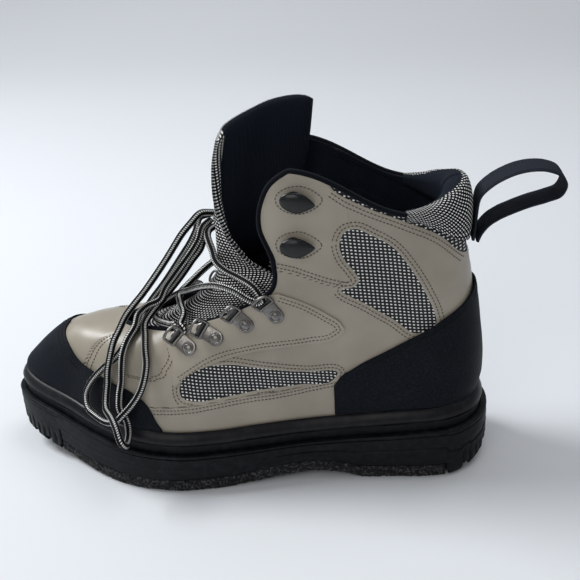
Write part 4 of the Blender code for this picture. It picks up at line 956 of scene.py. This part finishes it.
# creases: start and end in the side view, depth, half width
creases = (((-0.083, 0.150), (-0.064, 0.146), 0.0009, 0.0045), ((-0.058, 0.172), (-0.046, 0.170), 0.0007, 0.0050),
           ((-0.150, 0.082), (-0.140, 0.096), 0.0010, 0.0040), ((-0.133, 0.066), (-0.150, 0.060), 0.0006, 0.0040),
           ((-0.012, 0.098), (-0.030, 0.092), 0.0005, 0.0050), ((0.022, 0.140), (0.030, 0.128), 0.0006, 0.0060),
           ((-0.104, 0.098), (-0.090, 0.094), 0.0005, 0.0040), ((-0.172, 0.075), (-0.160, 0.089), 0.0006, 0.0035))


def outline(name, spacing=0.0015):
    # a window's whole edge
    return alongCurve(panels[name], spacing, closed=True)[:-1]


def openLine(name, spacing=0.0015):
    return alongCurve(panels[name], spacing)


def offsetLine(line, distance, closed=False):
    # a line moved sideways, to its left seen with X right and Z up
    if closed:
        along = unit(np.roll(line, -1, axis=0) - np.roll(line, 1, axis=0))
    else:
        along = unit(np.gradient(line, axis=0))
    return line + np.stack([-along[:, 1], along[:, 0]], -1) * distance


def toeFullness(level, turns):
    # 1 over the toes, falling to 0 round about
    return np.exp(-((level - 4.4) / 1.2) ** 2) * smooth(-0.20, 0.0, turns) * smooth(0.55, 0.25, turns)


def relief(level, turns):
    # how far the skin stands out of the last's shape, and the distances to the windows and the seams
    base = ringPoint(level, turns)
    x, z = base[..., 0], base[..., 2]
    window = np.minimum.reduce([distanceTo(x, z, outline(name), True) for name in ("ankle", "vamp", "collar")])
    band, hook, plug = openLine("band"), openLine("hookPanel"), openLine("plug", 0.06)
    plugTurn = np.interp(level, *plug.T)
    plugGap = np.where((level > 2.6) & (level < 5.6), (np.abs(turns) - plugTurn) * 0.16, 0.02)
    seam = np.minimum.reduce([distanceTo(x, z, band), distanceTo(x, z, hook), np.abs(plugGap)])
    seam = np.where(window < 0.0014, 0.01, seam)
    inBand = smooth(0.0006, -0.0006, z - np.interp(x, *band.T)) * (x > -0.16) * (x < -0.028)
    onHooks = smooth(-0.0006, 0.0006, z - np.interp(x, *hook.T)) * (x < -0.030) * (window > -0.0004)
    onPlug = smooth(0.0005, -0.0005, plugGap) * (level > 2.6) * smooth(5.9, 5.3, level)
    out = panels["rise"] * (inBand + onHooks + onPlug) - panels["windowDepth"] * smooth(0.0005, -0.0009, window)
    for start, end, depth, width in creases:
        far = distanceTo(x, z, np.array([start, end]))
        out = out - depth * np.exp(-(far / width) ** 2)
    out = out + waves(base, 0.05, 21) * 0.0006 * smooth(0.6, 2.0, level) + waves(base, 0.018, 22) * 0.00016
    return out + boot["toeFull"] * toeFullness(level, turns), window, seam


def makeUpper():
    # the hollow shell: rings of the last's shape, sunk at the windows and raised under the panels
    levels = np.linspace(0, top, 150)
    columns = np.linspace(0, 1, 135)
    turns = np.array([turnsRoundBack(edgeTurn(level) if level > 6.0 else 0.0, columns) for level in levels])
    level, turns = np.broadcast_arrays(levels[:, None], turns)
    out, window, seam = relief(level, turns)
    points = wallPoint(level, turns, out)
    uv = np.stack([points[..., 0] + 0.25 * points[..., 2], points[..., 2]], -1)
    piece = makePiece("upperShell", points, gridFaces(*turns.shape), [upperSkin, knit], uv,
                      {"window": window, "seam": seam}, outwards=False)
    thicken(piece, boot["wall"], outwards=False, edge=0, inner=1)
    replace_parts(piece, "upper")


def makeBinding():
    # a rolled edge of lining cloth round the throat and the front half of the collar
    down = np.concatenate([np.linspace(top, 6.6, 40), np.linspace(6.5, 6.05, 8)])
    rim = np.linspace(0.685, float(edgeTurn(top)) + 0.02, 34)
    outer, inner = (np.concatenate([ringPoint(top, side * rim), ringPoint(down, side * (edgeTurn(down) + 0.004))])
                    for side in (-1, 1))
    path = np.concatenate([outer, inner[::-1]]) + np.array([0, 0, 0.0002])
    points, faces, uv = tubeMesh(alongCurve(path, 0.0018), 0.0016, 12)
    makePiece("collarBinding", points, faces, [binding], uv)


def capEdge(name, turns):
    # the level of a cap's upper edge
    return through(*np.transpose(panels[name]), np.abs(turns))


def capSheet(name, edge, turns, foot, node, upright=None):
    # a sheet from the sole up to an edge line given over the turns; upright keeps its ends at one place along X
    share = np.concatenate([np.linspace(0, 0.9, 30), np.linspace(0.915, 1, 8)])[:, None]
    level = foot + share * (capEdge(edge, turns) - foot)
    turns = np.broadcast_to(turns, level.shape)
    if upright:
        corner = panels[edge][0][1]
        shift = turnOver(ringPoint(corner, upright)[0], np.minimum(level, corner)) - upright
        turns = turns + np.sign(turns) * shift * (1 - np.abs(turns)) / (1 - upright)
    rise = boot["toeFull"] * toeFullness(level, turns) + 0.0003 * waves(ringPoint(level, turns), 0.03, 31)
    grid = wallPoint(level, turns, rise + boot["overlayGap"] + 0.0001)
    piece = makePiece(name, grid, gridFaces(*grid.shape[:2]), [capSkin], outwards=False)
    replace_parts(thicken(piece, boot["overlay"] + 0.0002, edge=0.00055), node)


def wedgeSheet(name, side, node):
    # the panel that carries the brackets: rows between its front edge by the throat and its back edge
    lower = openLine("wedge", 0.0012)
    level, turn = onSide(*lower.T, side)
    frontLevel = np.linspace(4.25, 8.85, len(lower))
    front = np.where(frontLevel < 7.0, np.interp(frontLevel, (4.25, 5.0, 5.9, 6.5, 7.0),
                                                 (0.365, 0.325, 0.275, 0.235, 0.222)), edgeTurn(frontLevel) + 0.004)
    share = np.concatenate([[0, 0.02, 0.05], np.linspace(0.09, 0.91, 22), [0.95, 0.98, 1]])[:, None]
    levels = frontLevel + share * (level - frontLevel)
    turns = side * front + share * (turn - side * front)
    grid = wallPoint(levels, turns, boot["overlayGap"] + 0.0001 * waves(ringPoint(levels, turns), 0.02, 8))
    piece = makePiece(name, grid if side < 0 else grid[::-1], gridFaces(*grid.shape[:2]), [leather],
                      outwards=False)
    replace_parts(thicken(piece, boot["overlay"], outwards=facesOut(grid) == (side < 0), edge=0.0005), node)


def facesOut(grid):
    # True where the grid's own normal points away from the boot's middle
    row, column = grid.shape[0] // 2, grid.shape[1] // 2
    at, along, across = grid[row, column], grid[row + 1, column], grid[row, column + 1]
    return bool(np.cross(across - at, along - at)[1] * at[1] > 0)


makeUpper()
makeBinding()
capSheet("toeCap", "capTop", np.linspace(panels["toeCapEnd"], -panels["toeCapEnd"], 150), 0.80, "toe_cap")
backTurns = np.linspace(panels["counterStart"], 1, 70)
capSheet("heelCounter", "counterTop", np.concatenate([-backTurns, backTurns[-2::-1]]), 0.90, "heel_counter",
         upright=panels["counterStart"])
for side, where in ((-1, "outer"), (1, "inner")):
    wedgeSheet("facing" + where.title(), side, "facing_" + where)
print("upper built")


# Stitches

stitch = {"long": 0.0017, "pitch": 0.0023, "width": 0.00040, "overWedge": 0.0018, "overCap": 0.0021}
# each bracket has its rivet and the place its bar points to, and each hook its neck, as level and turn
hardware = {"plates": (((5.32, 0.348), (6.43, 0.250)), ((6.19, 0.358), (7.12, 0.274)),
                       ((7.29, 0.373), (8.18, 0.296)), ((7.76, 0.419), (8.59, 0.362))),
            "hooks": ((11.87, 0.358), (10.45, 0.384)), "rivet": 0.0050, "far": 0.0046, "span": 0.0090,
            "plate": 0.0010, "reach": 0.0058, "rise": 0.0062, "half": 0.0052, "wire": 0.0018,
            "hookLong": 0.0205, "hookWide": 0.0125, "hookRise": 0.0050, "neck": 0.0026}


def stitchBodies(centres, along, normals, long):
    # small ellipsoids: five rings of six points, each laid along its seam
    t = np.linspace(-1, 1, 5)[:, None]
    turn = np.linspace(0, 2 * math.pi, 6, endpoint=False)
    size = np.sqrt(np.maximum(1 - t ** 2, 0.04)) * stitch["width"]
    shape = spread(t * long / 2, size * np.cos(turn), size * np.sin(turn)).reshape(-1, 3)
    frames = np.stack([along, np.cross(normals, along), normals], axis=1)
    points = centres[:, None] + np.einsum("pk,nkj->npj", shape, frames)
    ends = np.array([[0, 1, 2, 3], [0, 3, 4, 5], [24, 27, 26, 25], [24, 29, 28, 27]])
    one = np.concatenate([gridFaces(5, 6, wrapColumns=True), ends])
    return points.reshape(-1, 3), (one[None] + np.arange(len(centres))[:, None, None] * 30).reshape(-1, 4)


def stitchAlong(line, normals):
    # stitches a pitch apart on a line of 3D points
    length = lengthAlong(line)
    at = np.arange(stitch["pitch"] / 2, length[-1], stitch["pitch"])
    along = unit(atLengths(line, length, at + 2e-4) - atLengths(line, length, at - 2e-4))
    out = unit(atLengths(normals, length, at))
    out = unit(out - along * (out * along).sum(-1, keepdims=True))
    return atLengths(line, length, at), along, out


def sideRow(line, side, over=None):
    return wallRow(*onSide(*line.T, side), over)


def wallRow(level, turn, over=None):
    # over is a fixed height above the last's shape; without it the row lies on the skin's relief
    level, turn = np.broadcast_arrays(level, turn)
    out = relief(level, turn)[0] + 0.00012 if over is None else np.broadcast_to(over, level.shape)
    return stitchAlong(wallPoint(level, turn, out), wallNormal(level, turn))


def windowRows(name, side):
    # two rows round a window, left out where they would run into its corners or past the band
    loop = outline(name, 0.001)
    area = np.sum(loop[:, 0] * np.roll(loop[:, 1], -1) - np.roll(loop[:, 0], -1) * loop[:, 1])
    outwards = 1 if area < 0 else -1
    for k in (0.0020, 0.0043):
        row = offsetLine(loop, outwards * k, True)
        keep = distanceTo(*row.T, loop, True) > k - 0.0004
        if name == "vamp":
            keep &= row[:, 1] > np.interp(row[:, 0], *np.transpose(panels["band"])) + 0.0006
        row = row[keep]
        breaks = np.where(np.linalg.norm(np.diff(row, axis=0), axis=1) > 0.004)[0] + 1
        for piece in np.split(row, breaks):
            if len(piece) > 4:
                yield sideRow(piece, side)


def sideRows(side):
    rows = [row for name in ("ankle", "vamp") for row in windowRows(name, side)]
    lines = ((openLine("band", 0.001), (-0.0019, -0.0042), None),
             (openLine("hookPanel", 0.001), (0.0018, 0.0041), None),
             (alongCurve(panels["collar"][:6], 0.001), (-0.0022, -0.0046), None),
             (openLine("wedgeSeam", 0.001), (0.0, 0.0022), stitch["overWedge"]))
    for line, offsets, over in lines:
        rows += [sideRow(offsetLine(line, k), side, over) for k in offsets]
    plug, patch = openLine("plug", 0.02).T, openLine("patch", 0.02).T
    rows += [wallRow(plug[0], side * (plug[1] + k)) for k in (0.006, 0.018)]
    rows += [wallRow(patch[0] - k * 8, side * (patch[1] + k)) for k in (0.0, 0.010)]
    # a drop-shaped row round each hook
    around = np.linspace(0, 2 * math.pi, 40)
    narrow = 1 - 0.35 * np.maximum(np.cos(around), 0) ** 1.5
    for level, turn in hardware["hooks"]:
        x, _, z = ringPoint(level, side * turn)
        ring = np.stack([x + 0.0005 + 0.0134 * np.cos(around), z + 0.0084 * np.sin(around) * narrow], -1)
        rows.append(sideRow(ring, side))
    return rows


def makeStitches():
    rows = [row for side in (-1, 1) for row in sideRows(side)]
    dark = []
    turns = np.linspace(-0.380, 0.380, 260)
    for k in (0.16, 0.36):
        level = capEdge("capTop", turns) - k
        dark.append(wallRow(level, turns, stitch["overCap"] + boot["toeFull"] * toeFullness(level, turns)))
    turns = np.linspace(0.632, 1.0, 160)
    for k in (0.18, 0.40):
        for side in (-1, 1):
            dark.append(wallRow(capEdge("counterTop", turns) - k, side * np.minimum(turns, 0.9995),
                                stitch["overCap"]))
    for name, group, material, long in (("stitching", rows, thread, stitch["long"]),
                                        ("capStitching", dark, blackThread, 0.0019)):
        centres, along, out = (np.concatenate(v) for v in zip(*group))
        points, faces = stitchBodies(centres, along, out, long)
        makePiece(name, points, faces, [material], weld=False, sharp=80)


makeStitches()
print("stitches sewn")


# Collar roll, tongue and pull loop

# the seam's height along X, and the outline of the roll where it is fullest, outer face first
roll = {"start": 0.660, "seam": ((-0.010, 0.808), (0.030, 0.783), (0.063, 0.742), (0.100, 0.674), (0.1235, 0.623)),
        "outer": ((0.0, 0.0010), (0.25, 0.0032), (0.5, 0.0044), (0.75, 0.0048), (1.0, 0.0042)),
        "over": ((0.0026, 0.0044), (-0.0015, 0.0062), (-0.0060, 0.0050), (-0.0092, 0.0010), (-0.0100, -0.0070),
                 (-0.0085, -0.0150), (-0.0045, -0.0205)), "faceColumns": 44, "backColumns": 16, "puckers": 34}


def atHeight(turn, z, out):
    # a place over the upper's face at a height, straight up from the collar's edge where it is higher
    levels = np.linspace(6, top, 120)
    heights = ringPoint(levels, turn)[:, 2]
    level = np.interp(min(z, heights[-1]), heights, levels)
    return wallPoint(level, turn, out) + np.array([0, 0, max(z - heights[-1], 0)])


def rollSection(turn):
    # the roll's outline in one upright plane: up its outer face, over the top, down inside and back along the wall
    full = 0.22 + 0.78 * math.sin(math.pi / 2 * (abs(turn) - roll["start"]) / (1 - roll["start"]))
    x, _, topZ = ringPoint(top, turn)
    seam = np.interp(x / boot["soleLength"], *np.transpose(roll["seam"]))
    seam = min(heightOf(seam, seatHeight(boot["toeShare"])), topZ - 0.004)
    low, inside = boot["overlayGap"], -boot["wall"] - boot["overlayGap"]
    places = [(seam + s * (topZ - seam), low + full * out) for s, out in roll["outer"]]
    places += [(topZ + full * up + (low if up > 0 else 0), full * out - (boot["wall"] if out < 0 else 0))
               for out, up in roll["over"]]
    hem = full * roll["over"][-1][1] + 0.0006
    places += [(topZ + hem, inside), (topZ + hem * 0.5, inside), (topZ + low, inside), (topZ + low, low),
               ((topZ + seam) / 2, low), (seam, low)]
    return np.array([atHeight(turn, z, out) for z, out in places])


def evenly(points, count):
    # about evenly spaced points on the smooth curve through some
    fine = alongCurve(points, 0.0001)
    return fine[np.linspace(0, len(fine) - 1, count).astype(int)]


def makeRoll():
    turns = np.linspace(roll["start"], 1, 27)
    turns = np.concatenate([-turns, turns[-2::-1]])
    sections = []
    for turn in turns:
        section = rollSection(turn)
        sections.append(np.concatenate([evenly(section[:12], roll["faceColumns"]),
                                        evenly(section[11:], roll["backColumns"])[1:]]))
    fine = through(np.arange(len(turns)), np.array(sections), np.linspace(0, len(turns) - 1, 170))
    share = np.arange(fine.shape[1]) / (roll["faceColumns"] - 1)
    puff = np.where(share <= 1, np.sin(math.pi * np.clip(share, 0, 1)), 0)
    centre = fine.mean(axis=1, keepdims=True)
    # foam: shallow puckers along the seam, a soft unevenness and a groove inside at the back
    along = np.linspace(0, 1, len(fine))[:, None]
    pucker = 0.00035 * np.sin(along * 2 * math.pi * roll["puckers"]) * np.exp(-((share - 0.04) / 0.07) ** 2)
    soft = 0.0005 * waves(fine, 0.022, 41) * puff
    groove = -0.0013 * np.exp(-((along - 0.5) / 0.010) ** 2) * smooth(0.50, 0.58, share) * (share < 1)
    fine = fine + unit(fine - centre) * (pucker + soft + groove)[..., None]
    lined = np.broadcast_to(smooth(0.52, 0.54, share), fine.shape[:2])
    uv = spread(lengthAlong(fine[:, 14])[:, None], lengthAlong(fine[len(fine) // 2])[None, :])
    piece = makePiece("collarRoll", fine, closedTube(*fine.shape[:2]), [collarNet], uv, {"lined": lined},
                      sharp=75)
    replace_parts(piece, "collar_roll")


tongueRows = (((-0.288, -0.226, 0.617), (-0.350, -0.122, 0.614), (-0.342, 0.017, 0.611), (-0.304, 0.148, 0.620),
               (-0.226, 0.205, 0.649)),
              ((-0.322, -0.195, 0.694), (-0.353, -0.117, 0.701), (-0.334, 0.017, 0.707), (-0.292, 0.139, 0.726),
               (-0.205, 0.213, 0.757)),
              ((-0.346, -0.155, 0.809), (-0.350, -0.070, 0.819), (-0.323, 0.035, 0.832), (-0.276, 0.148, 0.854),
               (-0.186, 0.213, 0.879)),
              ((-0.350, -0.113, 0.955), (-0.339, -0.035, 0.972), (-0.307, 0.052, 0.988), (-0.260, 0.148, 1.009),
               (-0.172, 0.204, 1.025)),
              ((-0.336, -0.070, 1.092), (-0.318, -0.009, 1.118), (-0.282, 0.074, 1.146), (-0.238, 0.143, 1.171),
               (-0.160, 0.180, 1.192)))
# the rows are its free part; each crease is a height along it, a depth and a half width
tongue = {"under": ((6.15, 0.13), (6.7, 0.20), (7.3, 0.285), (8.0, 0.335), (8.7, 0.375), (9.2, 0.385)),
          "below": 0.0036, "thick": 0.0052, "edge": 0.0018, "corner": 0.0055,
          "creases": ((0.060, 0.0010, 0.005), (0.074, 0.0008, 0.004), (0.091, 0.0009, 0.006))}


def makeTongue():
    # rows from under the throat up to the free end; each is a flat oval ring, thick in its middle
    columns = 61
    across = np.linspace(-1, 1, columns)
    lines = [wallPoint(level, turn * across, -tongue["below"]) for level, turn in tongue["under"]]
    lines += [through(np.linspace(-1, 1, 5), row, across) for row in placed(tongueRows)]
    lines = np.array(lines)
    reach = lengthAlong(lines[:, columns // 2])
    end = reach[-1]
    at = np.concatenate([[0.001], np.linspace(0.004, end - 0.004, 110), [end - 0.002, end - 0.0006, end]])
    front = through(reach, lines, at)
    # the free end's two corners are rounded off
    for k, cut in enumerate(tongue["corner"] * np.abs(across) ** 9):
        front[:, k] = atLengths(front[:, k], at, at * (1 - cut / end * (at / end) ** 6))
    normal = unit(np.cross(np.gradient(front, axis=1), np.gradient(front, axis=0)))
    normal = normal * np.sign((normal * np.array([-1, 0, 0.3])).sum(-1).mean())
    toEdge = np.minimum(1 - np.abs(across)[None, :], ((end - at) / 0.03)[:, None])
    thick = tongue["edge"] + (tongue["thick"] - tongue["edge"]) * roundEnd(np.clip(toEdge, 0, 1), 0.22, 2.0)
    soft = 0.0005 * waves(front, 0.03, 51) * smooth(0, 0.1, np.clip(toEdge, 0, 1))
    # a sewn line a little inside the edge, and creases across the bend
    hem = -0.0005 * np.exp(-((np.abs(across)[None, :] - 0.86) / 0.018) ** 2)
    bend = 0
    for height, depth, half in tongue["creases"]:
        bend = bend - depth * np.exp(-((at[:, None] - height - 0.006 * across[None, :] ** 2) / half) ** 2)
    front = front + normal * (soft + hem)[..., None] - normal * 0.0003
    back = front - normal * (thick + soft * 0.5 + hem - 0.6 * bend)[..., None]
    loops = np.concatenate([front, back[:, ::-1]], axis=1)
    # the lining covers the back but for a strip along the outer edge
    lined = np.zeros(loops.shape[:2])
    width = np.linalg.norm(np.diff(front, axis=1), axis=-1).sum(axis=1)[:, None]
    fromOuter = (across[None, ::-1] + 1) / 2 * width
    lined[:, columns:] = smooth(0.0058, 0.0062, fromOuter)
    distance = np.array([lengthAlong(loop) for loop in loops])
    uv = spread(distance - width / 2, at[:, None])
    piece = makePiece("tonguePad", loops, closedTube(*loops.shape[:2]), [tongueNet], uv, {"lined": lined},
                      sharp=70)
    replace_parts(piece, "tongue")


# the line starts where the tape leaves the collar's seam, as distances back and up from there
pullLoop = {"width": 0.022, "thick": 0.0018, "spacing": 0.0009, "ribPitch": 0.0022,
            "line": ((0.0022, 0.0110), (0.0082, 0.0172), (0.0157, 0.0218), (0.0232, 0.0248), (0.0312, 0.0262),
                     (0.0402, 0.0256), (0.0475, 0.0222), (0.0503, 0.0166), (0.0480, 0.0108), (0.0402, 0.0074),
                     (0.0302, 0.0044), (0.0212, 0.0009), (0.0132, -0.0028), (0.0068, -0.0074), (0.0028, -0.0128),
                     (0.0010, -0.0172))}


def makePullLoop():
    # flat tape carried along its line, with rounded selvedges
    seat = np.array([boot["gap"] + pullLoop["thick"] / 2, 0, 0])
    against = rollSection(1.0)[:3] + seat
    x, z = np.transpose(pullLoop["line"])
    line = np.concatenate([against, np.stack([x, 0 * x, z], -1) + against[-1]])
    line = alongCurve(line, pullLoop["spacing"])
    along = unit(np.gradient(line, axis=0))
    aside = np.stack([-along[:, 2], 0 * along[:, 0], along[:, 0]], -1)
    y = np.linspace(-0.5, 0.5, 23) * pullLoop["width"]
    edge = roundEnd(pullLoop["width"] / 2 - np.abs(y), 0.0009, 2.0) * 0.85 + 0.15
    ribs = 0.00006 * np.sin(y * 2 * math.pi / pullLoop["ribPitch"])
    half = (pullLoop["thick"] / 2 * edge + ribs)[None, :, None]
    centre = line[:, None] + y[None, :, None] * np.array([0, 1, 0])
    shift = aside[:, None] * half
    loops = np.concatenate([centre + shift, (centre - shift)[:, ::-1]], axis=1)
    uv = spread(np.concatenate([y, y[::-1]])[None, :], np.arange(len(loops))[:, None] * pullLoop["spacing"])
    piece = makePiece("pullTape", loops, closedTube(*loops.shape[:2]), [web], uv, sharp=60)
    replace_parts(piece, "pull_loop")


makeRoll()
makeTongue()
makePullLoop()
print("collar, tongue and pull loop padded")


# Brackets and hooks

def seatOn(level, turn, toward, under):
    # where a piece sits on the upper: its middle and its axes, X towards a place and Z outwards, lifted clear of
    # the places under it
    foot = wallPoint(level, turn, 0.0)
    normal = unit(wallPoint(level, turn, 0.001) - foot)
    x = toward - foot
    x = unit(x - normal * (x @ normal))
    lift = ((under - foot) @ normal).max()
    return foot + normal * lift, np.stack([x, np.cross(normal, x), normal])


def revolved(profile, shift=0.0, sides=28):
    # a profile of radius and height turned about Z, or about a line beside it, closed at its poles
    t = np.linspace(0, 2 * math.pi, sides, endpoint=False)
    r, z = np.array(profile).T[..., None]
    points, uv = spread(r * np.cos(t) + shift, r * np.sin(t), z), spread(t[None, :] / 6.283, z)
    return points.reshape(-1, 3), gridFaces(len(r), sides, wrapColumns=True), uv.reshape(-1, 2)


def bracketParts():
    # plate: an egg outline carried up through a rounded edge; bail: a wire frame with square corners
    h = hardware
    t = np.linspace(0, 2 * math.pi, 48, endpoint=False)
    share = (1 - np.cos(t)) / 2
    body = np.stack([np.where(np.cos(t) > 0, h["span"] + h["far"] * np.cos(t), h["rivet"] * np.cos(t)),
                     np.sin(t) * (h["far"] + (h["rivet"] - h["far"]) * share)], -1)
    centre = np.array([h["span"] / 2, 0])
    p, r = h["plate"], h["rivet"]
    layers = [np.column_stack([centre + (body - centre) * (1 - inset), np.full(len(t), z)]) for inset, z in
              ((1.0, 0.0), (0.0, 0.0), (0.0, p * 0.6), (0.035, p * 0.92), (0.09, p), (1.0, p))]
    plate = (np.concatenate(layers), gridFaces(len(layers), len(t), wrapColumns=True),
             np.zeros((len(layers) * len(t), 2)))
    rivet = revolved([(r * wide, p + up) for wide, up in
                      ((0, 0), (0.74, 0), (0.74, 0.0004), (0.66, 0.0007), (0.58, 0.0004), (0.52, 0.0004),
                       (0.46, 0.0008), (0.30, 0.0011), (0, 0.0012))])
    foot, tip = h["span"] - 0.001, h["span"] + h["reach"]
    side = [(foot - 0.0004, h["half"] - 0.0014, p * 0.9), (foot, h["half"] - 0.0003, p),
            (foot + 0.0008, h["half"], p + 0.0006), (tip - 0.0020, h["half"], h["rise"] - 0.0020),
            (tip - 0.0005, h["half"] - 0.0004, h["rise"] - 0.0005), (tip, h["half"] - 0.0020, h["rise"])]
    bail = tubeMesh(alongCurve(side + [(x, -y, z) for x, y, z in side[::-1]], 0.0005), h["wire"] / 2, 12)
    base = [(foot + 0.0003, y, p + 0.0004) for y in np.linspace(-h["half"], h["half"], 14)]
    base = tubeMesh(base, 0.0010, 12)
    # black saddle under the lace: a half barrel with flared ends
    y = np.linspace(-1, 1, 15) * (h["half"] - 0.0012)
    flare = 0.0011 + 0.0006 * (np.abs(y) / h["half"]) ** 3
    saddle = tubeMesh(np.stack([foot + 0.0026 + 0 * y, y, p + 0.0012 + 0 * y], -1), flare, 14)
    return joined([plate, rivet, bail, base]), saddle


def hookParts():
    # a dome drawn to a point behind, over a neck and a thin washer
    h = hardware
    u = np.linspace(0, 2 * math.pi, 40, endpoint=False)[None, :]
    v = np.linspace(-math.pi / 2, math.pi / 2, 22)[:, None]
    x, y, z = np.cos(v) * np.cos(u), np.cos(v) * np.sin(u), np.sin(v) + 0 * u
    narrow = 1 - 0.55 * np.maximum(x, 0) ** 1.5
    dome = spread(x * h["hookLong"] / 2, y * h["hookWide"] / 2 * narrow,
                  h["neck"] + (z * 0.5 + 0.5) * h["hookRise"] * narrow)
    cap = (dome.reshape(-1, 3), gridFaces(*dome.shape[:2], wrapColumns=True), np.zeros((dome[..., 0].size, 2)))
    low = h["hookWide"] * 0.40
    neck = revolved([(0, 0.0001), (low, 0.0001), (low, 0.0006), (low * 0.72, 0.0009),
                     (low * 0.66, h["neck"] + 0.0012), (0, h["neck"] + 0.0016)], -h["hookLong"] * 0.12)
    return joined([cap, neck])


def seated(name, parts, seat, materials, sharp):
    # a piece built flat at the origin and moved to its seat
    points, faces, uv = parts
    middle, axes = seat
    return makePiece(name, points @ axes + middle, faces, materials, uv, sharp=sharp)


def makeHardware():
    metal, saddle = bracketParts()
    bracket, hook = joined([metal, saddle]), hookParts()
    onPanel = boot["overlayGap"] + boot["overlay"] + boot["gap"]
    share = np.linspace(-0.35, 1.0, 10)[:, None]
    for side, where in ((-1, "outer"), (1, "inner")):
        for number, plate in enumerate(hardware["plates"], 1):
            rivet, bar = np.array(plate) * (1, side)
            under = wallPoint(*(rivet + share * (bar - rivet)).T, onPanel)
            piece = seated(f"laceBracket{where.title()}{number}", bracket, seatOn(*rivet, wallPoint(*bar), under),
                           [steel, blackPlastic], 40)
            black = np.zeros(len(piece.data.polygons), int)
            black[-len(saddle[1]):] = 1
            piece.data.polygons.foreach_set("material_index", black)
            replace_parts(piece, f"lace_loop_{where}_{number}")
        for number, (level, turn) in enumerate(hardware["hooks"], 1):
            seat = seatOn(level, side * turn, wallPoint(level, side * (turn + 0.05)),
                          wallPoint(level, side * turn, boot["gap"]))
            piece = seated(f"laceHook{where.title()}{number}", hook, seat, [blackMetal], 60)
            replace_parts(piece, f"lace_hook_{where}_{number}")


makeHardware()
insole = bpy.data.objects["insole"]
for slot in insole.material_slots:
    slot.material = footbed
print("brackets and hooks riveted")


# Floor and light

def makeRoom():
    # the floor sweeps up behind the boot in one curve
    line = np.array([(-4.0, 0.0), (0.9, 0.0), (1.5, 0.05), (1.95, 0.25), (2.25, 0.65), (2.4, 1.3), (2.45, 3.5)])
    reach = lengthAlong(line)
    y, z = through(reach, line, np.linspace(0, reach[-1], 90)).T[..., None]
    grid = spread(np.linspace(-4, 4, 9)[None, :], y, np.maximum(z, 0) - 0.0001)
    material, tree, shader = newMaterial("floorPaper", view["floor"], 0.9)
    paint(tree, shader, mix(tree, noise(tree, 3, 3), view["floor"], tuple(c * 0.97 for c in view["floor"])))
    mesh = bpy.data.meshes.new("floor")
    mesh.from_pydata(grid.reshape(-1, 3).tolist(), [], gridFaces(*grid.shape[:2]).tolist())
    mesh.materials.append(material)
    mesh.shade_smooth()
    floor = bpy.data.objects.new("floor", mesh)
    bpy.context.scene.collection.objects.link(floor)


def makeLight(name, place, target, size, power, colour):
    # a round soft light that faces a target
    data = bpy.data.lights.new(name, "AREA")
    data.shape, data.size, data.energy, data.color = "DISK", size, power, colour
    light = bpy.data.objects.new(name, data)
    light.location = place
    light.rotation_euler = (Vector(target) - Vector(place)).to_track_quat("-Z", "Y").to_euler()
    bpy.context.scene.collection.objects.link(light)


makeRoom()
makeLight("window", (-1.3, 0.3, 1.4), (-0.05, 0, 0.08), 0.8, 30, (0.94, 0.97, 1.0))
makeLight("front", (-0.6, -1.8, 1.3), (-0.03, 0, 0.08), 1.3, 8, (1.0, 0.98, 0.95))
makeLight("above", (0.5, 0.3, 1.9), (-0.03, 0, 0.1), 1.2, 9, (0.97, 0.98, 1.0))
world = bpy.data.worlds.new("room")
world.use_nodes = True
sky = world.node_tree.nodes["Background"]
sky.inputs["Color"].default_value = (0.88, 0.89, 0.915, 1)
sky.inputs["Strength"].default_value = 0.36
bpy.context.scene.world = world
bpy.context.scene.view_settings.view_transform = "Standard"
print("floor and light set")
